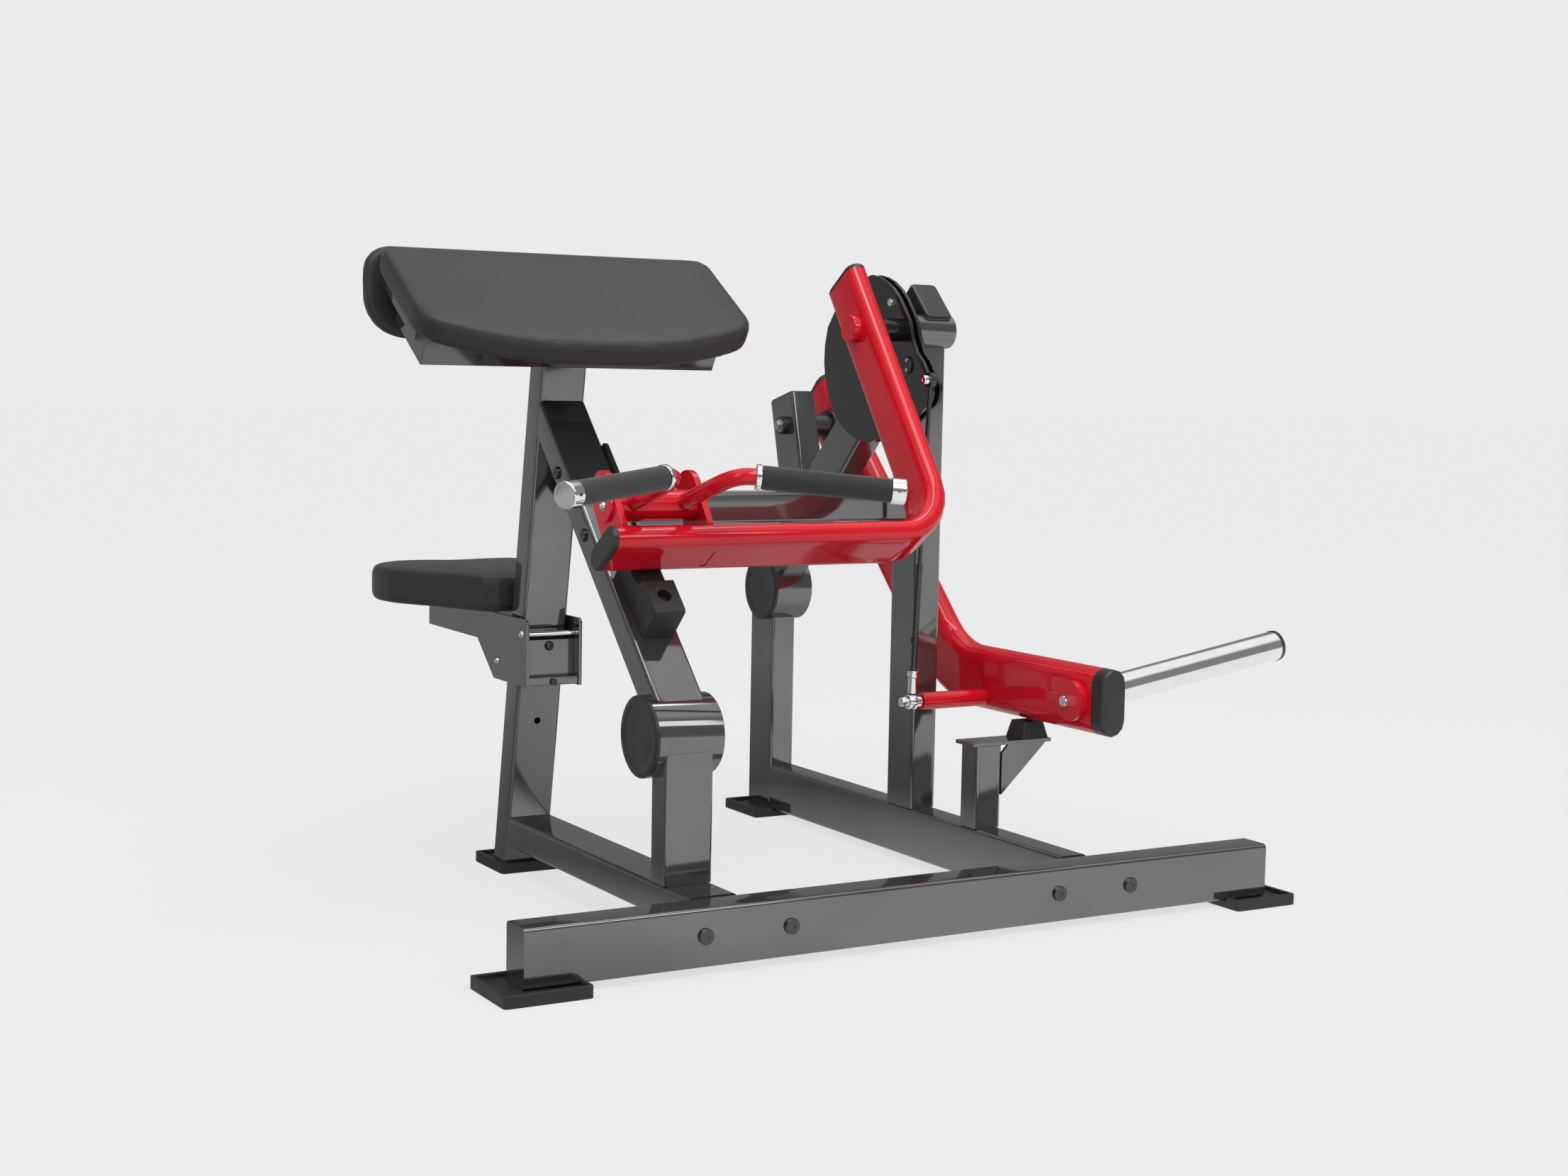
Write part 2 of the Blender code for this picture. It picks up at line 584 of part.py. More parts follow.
def build_stop():
    """Post, bracket and rubber bumper under the weight arm."""
    front = 0.2946
    depth = 0.0469
    mid_y = front + depth / 2
    plate_low, plate_high = 0.2315, 0.2375
    box_tube("stop_post", Vector((RIGHT_MID, mid_y, BEAM_TOP + GAP)),
             Vector((RIGHT_MID, mid_y, plate_low - GAP)), AXIS_X, RIGHT_X[1] - RIGHT_X[0], depth)
    top = block("stop_bracket", (0.9155, front, plate_low), (1.0720, front + 0.051, plate_high),
                PAINT_GREY)
    left = RIGHT_X[1] + GAP
    gusset = [(left, 0.1490), (1.0620, plate_low + 0.001), (left + 0.012, plate_low + 0.001),
              (left + 0.012, plate_low - 0.0005), (left, plate_low - 0.013)]
    rib = plate("stop_gusset", gusset, Vector((0, front + 0.006, 0)), AXIS_X, AXIS_Z, 0.006, None)
    cut(top, rib, "UNION")
    build_stop_bumper(Vector((1.041, front + 0.0255, plate_high + GAP)))


def build_stop_bumper(base):
    height = 0.0275
    loops = [place_loop(rounded_rect(0.052, 0.049, 0.002), base, AXIS_X, AXIS_Y),
             place_loop(rounded_rect(0.038, 0.038, 0.002), base + AXIS_Z * height, AXIS_X, AXIS_Y),
             place_loop(circle(0.0085, 12, math.radians(15)), base + AXIS_Z * height, AXIS_X, AXIS_Y),
             place_loop(circle(0.0085, 12, math.radians(15)), base + AXIS_Z * (height - 0.010),
                        AXIS_X, AXIS_Y)]
    make_object("stop_bumper", loft(loops), RUBBER)


# ---------------------------------------------------------------- exercise arm
def arm_point(along_u=0.0, along_n=0.0, x=0.0):
    """Point in the exercise arm's frame, measured from the bar's centre."""
    return Vector((x, BAR_CENTRE.y, BAR_CENTRE.z)) + ARM_U * along_u + ARM_N * along_n


def build_exercise_arm():
    build_arm_tube()
    shaft_base = ARM_PIVOT + AXIS_X * 0.7830
    profile = [(0, 0.0215), (0.002, 0.0235), (0.0137, 0.0235), (0.0137, SHAFT_R),
               (0.0513, SHAFT_R), (0.0513, 0.0190), (0.0987, 0.0190), (0.0987, SHAFT_R),
               (0.1975, SHAFT_R), (0.1975, 0.0200), (0.2010, 0.0200), (0.2020, 0.0185)]
    turned("arm_shaft", shaft_base, AXIS_X, profile, PAINT_RED, 24, ARM_PIVOT)
    for name, start_x in (("cam_plate_left", 0.8820), ("cam_plate_right", 0.8970)):
        build_cam_plate(name, start_x)
    pin_base = LINK_TOP + AXIS_X * 0.8655
    turned("link_pin", pin_base, AXIS_X,
           [(0, 0.0105), (0.0045, 0.0105), (0.0045, 0.0055), (0.0163, 0.0055)], CHROME, 24,
           ARM_PIVOT)
    for name, side in (("handle_ear_left", -1), ("handle_ear_right", 1)):
        build_ear(name, side)


def build_arm_tube():
    """One bent flat-oval tube: upright at the right, bar across to the left."""
    outer = flat_oval(ARM_LONG, ARM_SHORT)
    inner = flat_oval(ARM_LONG - 2 * WALL, ARM_SHORT - 2 * WALL)
    top_u = (ARM_PIVOT - BAR_CENTRE).dot(ARM_U) + ARM_TOP
    frames = [(arm_point(top_u, 0, ARM_MID_X), AXIS_X)]
    centre = arm_point(ARM_BEND, 0, ARM_MID_X - ARM_BEND)
    steps = 7
    for k in range(steps + 1):
        angle = math.radians(90 * k / steps)
        radial = AXIS_X * math.cos(angle) - ARM_U * math.sin(angle)
        frames.append((centre + radial * ARM_BEND, radial))
    frames.append((arm_point(0, 0, BAR_LEFT_X), -ARM_U))
    loops = [place_loop(outer, point, ARM_N, radial) for point, radial in frames]
    loops += [place_loop(inner, point, ARM_N, radial) for point, radial in reversed(frames)]
    arm = make_object("arm_tube", loft(loops, closed=True), PAINT_RED, ARM_PIVOT)
    cut(arm, rod_cutter("arm_bore", ARM_PIVOT + AXIS_X * 0.75, AXIS_X, 0.15, SHAFT_R + GAP, 24))
    for side in (-1, 1):
        base = ear_base(side, GAP)
        slot = [(EAR_TAIL[0] - GAP, -0.03), (EAR_TAIL[1] + GAP, -0.03),
                (EAR_TAIL[1] + GAP, 0.03), (EAR_TAIL[0] - GAP, 0.03)]
        cut(arm, plate(f"ear_slot_{side}", slot, base, ARM_N, ARM_U, EAR_THICK + 2 * GAP, None))
    build_arm_cap("arm_top_cap", arm_point(top_u, 0, ARM_MID_X), ARM_U, AXIS_X, 0.0080)
    build_arm_cap("arm_bar_cap", arm_point(0, 0, BAR_LEFT_X), -AXIS_X, -ARM_U, 0.0085)


def build_arm_cap(name, point, out, side, thickness):
    """Plastic end cap of a flat-oval tube, with a short plug inside it."""
    plug = 0.010
    sizes = [(-plug, -2 * WALL - 2 * GAP), (GAP, -2 * WALL - 2 * GAP), (GAP, 0),
             (thickness - 0.003, 0), (thickness, -0.005)]
    loops = [place_loop(flat_oval(ARM_LONG + grow, ARM_SHORT + grow), point + out * reach,
                        ARM_N, side) for reach, grow in sizes]
    return make_object(name, loft(loops), PLASTIC, ARM_PIVOT)


def ear_base(side, spread=0.0):
    """Point on the +X face of an ear, because an ear's plate is built towards -X."""
    right = HANDLE_MID_X - EAR_INNER if side < 0 else HANDLE_MID_X + EAR_INNER + EAR_THICK
    return arm_point(0, 0, right + spread)


def build_ear(name, side):
    """Tombstone plate slotted through the bar; it carries the handle's pivot."""
    foot = ARM_SHORT / 2 + GAP
    reach = 0.034
    outline = [(EAR_TAIL[0], -ARM_SHORT / 2 + 0.0012), (EAR_TAIL[1], -ARM_SHORT / 2 + 0.0012),
               (EAR_TAIL[1], foot), (reach, foot)]
    outline += arc((0, 0.0946), reach, 0, 180, 12)
    outline += [(-reach, foot), (EAR_TAIL[0], foot)]
    ear = plate(name, outline, ear_base(side), ARM_N, ARM_U, EAR_THICK, PAINT_RED, ARM_PIVOT)
    cut(ear, rod_cutter(name + "_bore", handle_axis(0.2), AXIS_X, 0.3, HANDLE_PIN_R + GAP, 20))


def cam_outline():
    """Round plate with a lobe that runs down and forward to the link pin."""
    outline = arc((0.5900, 0.8600), 0.1430, -118, 22, 11)
    outline += arc((0.5900, 0.8600), 0.1370, 34, 86, 4)
    outline += arc((0.5960, 0.8560), 0.1450, 96, 144, 5)
    outline += [(0.4620, 0.9200), (0.4540, 0.8960), (0.4390, 0.8690), (0.4200, 0.8540)]
    outline += arc((0.4185, 0.8060), 0.0290, 150, 252, 6)
    outline += [(0.4330, 0.7640), (0.4700, 0.7450)]
    return outline


def build_cam_plate(name, start_x):
    thickness = 0.006
    cam = plate(name, cam_outline(), Vector((start_x, 0, 0)), AXIS_Y, AXIS_Z, thickness,
                PLATE_BLACK, ARM_PIVOT)
    cut(cam, rod_cutter(name + "_bore", ARM_PIVOT + AXIS_X * 0.85, AXIS_X, 0.1, SHAFT_R + GAP, 24))


# ---------------------------------------------------------------- handle
def handle_axis(x):
    return arm_point(HANDLE_U, HANDLE_N, x)


def build_handle():
    half = EAR_INNER - 0.0012
    pivot = handle_axis(HANDLE_MID_X)
    frame = turned("handle_frame", handle_axis(HANDLE_MID_X - half), AXIS_X,
                   [(0, HANDLE_TUBE_R), (2 * half, HANDLE_TUBE_R),
                    (2 * half, HANDLE_PIN_R + 0.0006), (0, HANDLE_PIN_R + 0.0006)],
                   PAINT_RED, 24, pivot, hollow=True)
    pin_half = EAR_INNER + EAR_THICK + GAP
    turned("handle_pin", handle_axis(HANDLE_MID_X - pin_half - 0.005), AXIS_X,
           [(0, 0.0235), (0.001, 0.0245), (0.005, 0.0245), (0.005, HANDLE_PIN_R),
            (0.005 + 2 * pin_half, HANDLE_PIN_R), (0.005 + 2 * pin_half, 0.0245),
            (0.009 + 2 * pin_half, 0.0245), (0.010 + 2 * pin_half, 0.0235)],
           STEEL, 28, ARM_PIVOT)
    for name, side in (("left", -1), ("right", 1)):
        cut(frame, build_handle_bar(name, side), "UNION")
        build_grip("grip_" + name, side, pivot)


def grip_line(side):
    """Inner and outer end of a grip's centreline."""
    inner = Vector((HANDLE_MID_X + side * 0.0710, 0.111, 0.6815))
    outer = Vector((HANDLE_MID_X + side * 0.2670, 0.0205, 0.6625))
    return inner, outer


def bezier(points, steps):
    a, b, c, d = points
    curve = []
    for k in range(steps + 1):
        t = k / steps
        s = 1 - t
        curve.append(a * s ** 3 + b * 3 * s * s * t + c * 3 * s * t * t + d * t ** 3)
    return curve


def build_handle_bar(name, side):
    """Bent bar from the pivot tube forward and round into the grip's axis."""
    inner, outer = grip_line(side)
    run = (outer - inner).normalized()
    axis = handle_axis(HANDLE_MID_X + side * 0.0415)
    lean = Vector((side * 0.002, -0.960, 0.280)).normalized()
    root = axis + lean * 0.014
    knee = inner - run * 0.030
    path = [root, root + lean * 0.05]
    path += bezier([root + lean * 0.075, root + lean * 0.128, knee, inner], 7)
    path += [inner + run * 0.02]
    loops = []
    up = lean.cross(AXIS_X * side).normalized()
    for k, point in enumerate(path):
        before = path[max(k - 1, 0)]
        after = path[min(k + 1, len(path) - 1)]
        heading = (after - before).normalized()
        side_a = (up - heading * up.dot(heading)).normalized()
        loops.append(place_loop(circle(HANDLE_BAR_R, 12), point, side_a, heading.cross(side_a)))
    return make_object("handle_bar_" + name, loft(loops), PAINT_RED)


def build_grip(name, side, pivot):
    """Foam grip closed by a turned metal dome; a socket inside takes the bar."""
    inner, outer = grip_line(side)
    run = (outer - inner).normalized()
    length = (outer - inner).length
    socket = HANDLE_BAR_R + GAP
    profile = [(0.0203, socket), (0, socket), (0, GRIP_R + 0.001), (0.008, GRIP_R + 0.001),
               (0.008, GRIP_R), (length - 0.022, GRIP_R), (length - 0.022, GRIP_R + 0.001),
               (length - 0.004, GRIP_R + 0.001), (length, GRIP_R - 0.004)]
    turned(name, inner, run, profile, RUBBER, 20, pivot)


# ---------------------------------------------------------------- weight arm
def build_weight_arm():
    """Bent flat-oval lever: pivots at the back, carries the plates at the front."""
    radius = WEIGHT_BEND
    turn = math.radians(45)
    up_back = Vector((0, DIAGONAL, DIAGONAL))
    corner = Vector((0, WEIGHT_CORNER_Y, WEIGHT_LOW_Z))
    tangent = radius * math.tan(turn / 2)
    mid_x = sum(WEIGHT_X) / 2
    frames = [(Vector((0, 0.125, WEIGHT_LOW_Z)), AXIS_Z)]
    start = corner - AXIS_Y * tangent
    centre = start + AXIS_Z * radius
    steps = 5
    for k in range(steps + 1):
        angle = turn * k / steps
        radial = AXIS_Y * math.sin(angle) - AXIS_Z * math.cos(angle)
        frames.append((centre + radial * radius, -radial))
    top = corner + up_back * ((WEIGHT_PIVOT - corner).dot(up_back) + 0.090)
    frames.append((top, Vector((0, -DIAGONAL, DIAGONAL))))
    width = WEIGHT_X[1] - WEIGHT_X[0]
    outer = flat_oval(WEIGHT_HEIGHT, width)
    inner = flat_oval(WEIGHT_HEIGHT - 2 * WALL, width - 2 * WALL)
    shift = AXIS_X * mid_x
    loops = [place_loop(outer, point + shift, side, AXIS_X) for point, side in frames]
    loops += [place_loop(inner, point + shift, side, AXIS_X) for point, side in reversed(frames)]
    arm = make_object("weight_arm_tube", loft(loops, closed=True), PAINT_RED, WEIGHT_PIVOT)
    cut(arm, rod_cutter("weight_bore", WEIGHT_PIVOT + AXIS_X * 0.95, AXIS_X, 0.2, PIN_R + 0.0006,
                        24))
    build_weight_cap("weight_front_cap", frames[0][0] + shift, -AXIS_Y, AXIS_Z, 0.026)
    build_weight_cap("weight_rear_cap", top + shift, up_back, frames[-1][1], 0.012)
    build_horn()


def build_weight_cap(name, point, out, side, thickness):
    width = WEIGHT_X[1] - WEIGHT_X[0]
    sizes = [(-0.012, -2 * WALL - 2 * GAP), (GAP, -2 * WALL - 2 * GAP), (GAP, 0),
             (thickness - 0.004, 0), (thickness, -0.007)]
    loops = [place_loop(flat_oval(WEIGHT_HEIGHT + grow, width + grow), point + out * reach,
                        side, AXIS_X) for reach, grow in sizes]
    make_object(name, loft(loops), PLASTIC, WEIGHT_PIVOT)


def build_horn():
    """Plate horn, its end cap, the boss behind it and the peg for the link rod."""
    run = Vector((1, 0, HORN_RISE)).normalized()
    root = Vector((WEIGHT_X[1] + GAP, HORN_Y, WEIGHT_LOW_Z - 0.002 + HORN_RISE * 0.05))
    length = (HORN_END_X - WEIGHT_X[1]) / run.x
    side_a = AXIS_Y
    side_b = run.cross(side_a).normalized()
    loops = [place_loop(circle(HORN_R, 32), root, side_a, side_b, run, root, AXIS_X),
             place_loop(circle(HORN_R, 32), root + run * length, side_a, side_b)]
    make_object("plate_horn", loft(loops), CHROME, WEIGHT_PIVOT)
    turned("horn_cap", root + run * (length + GAP), run,
           [(0, HORN_R + 0.0005), (0.0050, HORN_R + 0.0005), (0.0080, HORN_R - 0.003)],
           PLASTIC, 32, WEIGHT_PIVOT)
    boss = Vector((WEIGHT_X[0] - GAP - BOSS_THICK, HORN_Y, WEIGHT_LOW_Z - 0.002))
    turned("horn_boss", boss, AXIS_X, [(0, BOSS_R), (BOSS_THICK, BOSS_R)], PAINT_RED, 32,
           WEIGHT_PIVOT)
    peg = LINK_END + AXIS_X * 0.8945
    turned("link_peg", peg, AXIS_X, [(0, 0.0135), (0.001, 0.0145), (0.1252, 0.0145)], PAINT_RED,
           28, WEIGHT_PIVOT)


# ---------------------------------------------------------------- link rod
def build_link():
    run = (LINK_END - LINK_TOP).normalized()
    shift = AXIS_X * LINK_X
    length = (LINK_END - LINK_TOP).length
    rod = turned("link_rod", LINK_TOP + run * 0.0090 + shift, run,
                 [(0, 0.0038), (0.294, 0.0038), (0.294, 0.0056), (0.4165, 0.0056),
                  (0.4165, 0.0075), (0.4255, 0.0075), (0.4255, 0.0050),
                  (length - 0.0230, 0.0050)], STEEL, 16, LINK_TOP)
    eye_base = LINK_TOP + AXIS_X * (LINK_X - 0.0050)
    eye = turned("link_eye", eye_base, AXIS_X,
                 [(0, 0.0122), (0.0100, 0.0122), (0.0100, 0.0058), (0, 0.0058)], STEEL, 24,
                 LINK_TOP, hollow=True)
    cut(rod, eye, "UNION")
    end_base = LINK_END + AXIS_X * (LINK_X - 0.0150)
    turned("link_ball_end", end_base, AXIS_X,
           [(0, 0.0070), (0.0055, 0.0070), (0.0055, 0.0105), (0.0075, 0.0125), (0.0140, 0.0137),
            (0.0190, 0.0137), (0.0205, 0.0120), (0.0205, 0.0090), (0.0316, 0.0090)], STEEL, 24,
           LINK_TOP)


# ---------------------------------------------------------------- seat
def build_seat():
    outline = [(0.612, 0.3225), (0.700, 0.3225), (0.7455, 0.3225), (0.8168, 0.3817),
               (1.0380, 0.3825), (1.0380, SEAT_LOW_Z - GAP), (0.618, SEAT_LOW_Z - GAP),
               (0.612, SEAT_LOW_Z - 0.006 - GAP)]
    front_rod = Vector((0, 0.6300, 0.4060))
    rear_rod = Vector((0, 0.7295, 0.3525))
    for name, left in (("seat_plate_left", 0.2660), ("seat_plate_right", 0.3580)):
        side = plate(name, outline, Vector((left, 0, 0)), AXIS_Y, AXIS_Z, SEAT_PLATE, PAINT_GREY)
        for k, centre in enumerate((front_rod, rear_rod)):
            cut(side, rod_cutter(f"{name}_hole_{k}", centre + AXIS_X * 0.2, AXIS_X, 0.2,
                                 0.0043, 12))
    for name, centre in (("seat_front_rod", front_rod), ("seat_rear_rod", rear_rod)):
        turned(name, centre + AXIS_X * 0.2617, AXIS_X,
               [(0, 0.003), (0.0015, 0.0058), (0.0040, 0.0068), (0.0040, 0.0040),
                (0.1026, 0.0040), (0.1026, 0.0068), (0.1051, 0.0058), (0.1066, 0.003)],
               CHROME, 16)
    inner = (0.2660 + SEAT_PLATE + GAP, 0.3580 - GAP)
    lock = block("seat_lock_plate", (inner[0], 0.6330, 0.3310), (inner[1], 0.6380, 0.3960),
                 PAINT_GREY)
    bar = plate("seat_lower_bar", rounded_rect(0.0245, 0.0135, 0.002),
                Vector((inner[0], 0.6270, 0.3310)), AXIS_Y, AXIS_Z, inner[1] - inner[0], None)
    cut(lock, bar, "UNION")
    build_seat_pad()


def build_seat_pad():
    """Seat pad: narrow by the post, flaring to its full width behind it."""
    half = [(0.030, 0.716), (0.058, 0.718)]
    half += [(0.074, 0.735), (0.092, 0.783), (0.117, 0.848), (0.146, 0.897), (0.164, 0.930)]
    half += [(0.169, 0.955)]
    half += arc((0.081, 0.978), 0.090, 4, 90, 6)
    outline = mirrored(half)
    base = Vector((LEFT_MID, 0, SEAT_HIGH_Z))
    flipped = [(b, a) for a, b in outline]
    cushion("seat_pad", flipped, base, AXIS_Y, AXIS_X, SEAT_HIGH_Z - SEAT_LOW_Z - GAP, 0.012)


def clear_scene():
    for item in list(bpy.data.objects):
        bpy.data.objects.remove(item, do_unlink=True)


clear_scene()
build_base()
build_left_frame()
build_pads()
build_right_frame()
build_exercise_arm()
build_handle()
build_weight_arm()
build_link()
build_seat()
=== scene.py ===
"""Looks for the plate-loaded arm-curl machine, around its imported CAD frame.

Everything is in metres in the frame's own axes: the floor is z = 0 and the member
sits at +Y. Places come from the CAD nodes' boxes and vertices.
"""

import json
import math

import bmesh
import bpy
import numpy as np
from mathutils import Matrix, Vector


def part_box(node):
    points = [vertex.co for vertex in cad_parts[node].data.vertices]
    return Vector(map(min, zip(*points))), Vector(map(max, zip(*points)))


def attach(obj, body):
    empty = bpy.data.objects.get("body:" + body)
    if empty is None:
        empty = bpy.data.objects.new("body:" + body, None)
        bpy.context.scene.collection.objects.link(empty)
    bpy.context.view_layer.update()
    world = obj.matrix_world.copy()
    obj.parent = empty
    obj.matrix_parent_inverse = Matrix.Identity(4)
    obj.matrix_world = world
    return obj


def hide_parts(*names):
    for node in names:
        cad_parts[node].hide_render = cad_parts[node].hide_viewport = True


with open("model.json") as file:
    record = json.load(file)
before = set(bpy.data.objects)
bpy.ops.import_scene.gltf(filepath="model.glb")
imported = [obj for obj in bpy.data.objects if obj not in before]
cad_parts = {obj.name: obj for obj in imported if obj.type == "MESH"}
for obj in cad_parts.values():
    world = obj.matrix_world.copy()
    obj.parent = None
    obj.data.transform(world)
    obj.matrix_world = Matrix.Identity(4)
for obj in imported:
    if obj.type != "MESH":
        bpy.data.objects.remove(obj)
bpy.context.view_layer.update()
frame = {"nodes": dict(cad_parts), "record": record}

AXIS_X = Vector((1, 0, 0))
AXIS_Y = Vector((0, 1, 0))
AXIS_Z = Vector((0, 0, 1))
SMOOTH_ANGLE = math.radians(50)      # edges flatter than this are shaded smooth

MERGE = 0.00001                      # vertices closer than this are one
EDGE_ROUND = 0.0009                  # width of the rounds on cut plates and feet
BUMPER_ROUND = 0.0040
SHAFT_SPLIT = 0.0955                 # the arm's shaft is red left of this x and black right of it

# Radii of the fixings.
BRACE_BOLT_R = 0.0100
BEAM_BOLT_R = 0.0116
BEAM_NUT_R = 0.005332
PIVOT_BOLT_R = 0.0092
BUMPER_SCREW_R = 0.0068
LOCK_BOLT_R = 0.0072
BAR_BOLT_R = 0.0062
CAM_NUT_R = 0.0072
CAM_SCREW_R = 0.0028
HANDLE_SCREW_R = 0.0068
GRIP_SCREW_R = 0.0022
BOSS_BOLT_R = 0.0098
BOSS_BOLT_DEPTH = 1.15               # height of its head as a share of its radius
BALL_NUT_R = 0.0090

# Places of the fixings, measured from a corner or face of their node.
BEAM_BOLTS_ALONG = (0.2705, 0.4067, 0.8738, 1.0093)
BEAM_BOLT_LIFT = 0.0446
BRACE_BOLTS = ((0.0794, 0.1105), (0.1794, 0.2005))      # forward of the rear, and down
BUMPER_SCREW_SUNK = 0.0100
LOCK_BOLT_BACK = 0.0182
LOCK_BOLT_DOWN = 0.0100
BAR_BOLT_LIFT = 0.0055

# Small parts of the left cam plate, placed from the middle of the shaft: (y, z).
CAM_NUT_AT = (0.021, 0.046)
CAM_BUTTON_AT = (-0.033, -0.058)
CAM_BUTTON_R = 0.0145
CAM_BUTTON_THICK = 0.0026
CAM_SCREW_LIFT = 0.0078
# The holes are not cut: each is a dark steel rim and disc on the plate, whose darkness is painted
# shade for the hole's inside.
CAM_HOLES_AT = ((-0.064, -0.074), (-0.064, -0.088))

# Grips: a foam sleeve between a collar and a metal end.
GRIP_R = 0.0175
FOAM_EDGE_R = 0.0140                 # radius where the sleeve's two end faces start
FOAM_LIP = 0.0025                    # rounding of the sleeve's two edges
FOAM_START = 0.0120                  # where its ridges start, from the grip's inner end
FOAM_SHORT = 0.0405                  # how much shorter than the grip its ridged part is
RIDGES = 46
RIDGE_DEPTH = 0.00018
GRIP_END = 0.0224                    # length of the metal end
GRIP_SCREW_BACK = 0.0120

# Plugs in tube ends: the way each tube's end faces, how near the end a vertex has to be,
# and the plug's outline as (share of the tube's own, height).
BRACE_TOWARDS = (0, -1, 1)
POST_TOWARDS = (0, 0.2523, 0.9677)
END_DEPTH = 0.0008
PLUG_PROFILE = ((0.96, 0.0), (0.96, 0.0022), (0.88, 0.0034))

# Bead round the horn where its cap starts.
HORN_LIP_R = 0.0248
HORN_BEAD_R = 0.0011

# Steps round a ring, round its bead and along a hexagon's side.
RING_STEPS = 72
BEAD_STEPS = 10
SIDE_STEPS = 6

# Cushions: how finely they are remeshed, how far they may swell and how full they are.
VOXEL = 0.005
SWELL = 0.0040
CUSHION_INSET = 0.0005               # drawn in this much before remeshing
EVEN_STEPS = 24                      # rounds of averaging the swell
CLOTH_FRAMES = 20
BOARD_SIDE = 0.75                    # normals this close to the board's way are pinned

# Stage: what the camera sees of the floor, what paint mirrors of it (painted light and shade
# graded across the floor), and what it throws back.
FLOOR_HALF = 60.0
BACKDROP = 0.83
FLOOR_PAINT = 0.14
FLOOR_GLOW = 0.685
FLOOR_BOUNCE = 0.65
# In reflections only, the floor glows graded by place: painted light in front of the machine and
# to its right, and a painted shadow band just behind it and to its left.
MIRROR_TOWARDS = (0.62, -0.78, 0.0)
MIRROR_FROM, MIRROR_TO = -2.6, 0.4   # reach of the floor's grading along MIRROR_TOWARDS
MIRROR_PAINTED_LIGHT_TONES = ((0.0, 0.36), (0.68, 0.15), (1.0, 0.86))     # (position, tone)

# Sky, as (position, tone) bands from straight away to straight towards a direction.
LIT_TOWARDS = (-0.10, -0.45, 0.89)
LIT_BANDS = ((0.30, 0.20), (0.95, 0.90))
STUDIO_TOWARDS = (0.0, 0.0, 1.0)
STUDIO_BANDS = ((0.50, 0.36), (0.55, 0.22), (0.82, 0.22), (0.89, 0.95))

# Lamps: where the sun stands, and the panels' name, place, width, height and power.
SUN_AT = (-1.0, -2.6, 3.6)
SUN_TARGET = (0, 0, 0.3)
SUN_POWER = 1.1
SUN_SPREAD = math.radians(40)
PANEL_TARGET = (0, 0, 0.5)
PANELS = (("front_strip", (0.6, -3.4, 2.6), 2.4, 0.9, 24.0),
          ("left_panel", (-3.2, -0.6, 1.9), 1.0, 2.2, 8.0),
          ("high_strip", (0.3, -0.4, 3.6), 2.6, 0.45, 16.0))

# Camera.
LENS = 51.41
SENSOR = 36.0
CAMERA_REACH = 200.0
CAMERA_AT = (-1.85947, -3.1833, 0.814)
CAMERA_FORWARD = (0.4992, 0.8617, -0.0909)
CAMERA_RIGHT = (0.8660, -0.4997, 0.0180)


# ---------------------------------------------------------------- measuring the frame
def mesh_points(mesh):
    points = np.zeros(len(mesh.vertices) * 3)
    mesh.vertices.foreach_get("co", points)
    return points.reshape(-1, 3)


def vertices(node):
    return mesh_points(frame["nodes"][node].data)


def centre(node):
    low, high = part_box(node)
    return (low + high) / 2


def side_x(node, way):
    """Middle of the side of a node's box that faces along X (way 1) or against it (way -1)."""
    low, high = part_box(node)
    middle = (low + high) / 2
    middle.x = high.x if way > 0 else low.x
    return middle


def centre_of(points):
    spread = np.array(points)
    return Vector((spread.min(0) + spread.max(0)) / 2)


def long_axis(node, towards):
    """Ends of a slim node's centreline; the second end is the one further along towards."""
    points = vertices(node)
    middle = points.mean(0)
    direction = np.linalg.svd(points - middle, full_matrices=False)[2][0]
    if direction @ np.array(towards) < 0:
        direction = -direction
    reach = (points - middle) @ direction
    across = points - middle - np.outer(reach, direction)
    middle = middle + (across.min(0) + across.max(0)) / 2
    return Vector(middle + direction * reach.min()), Vector(middle + direction * reach.max())


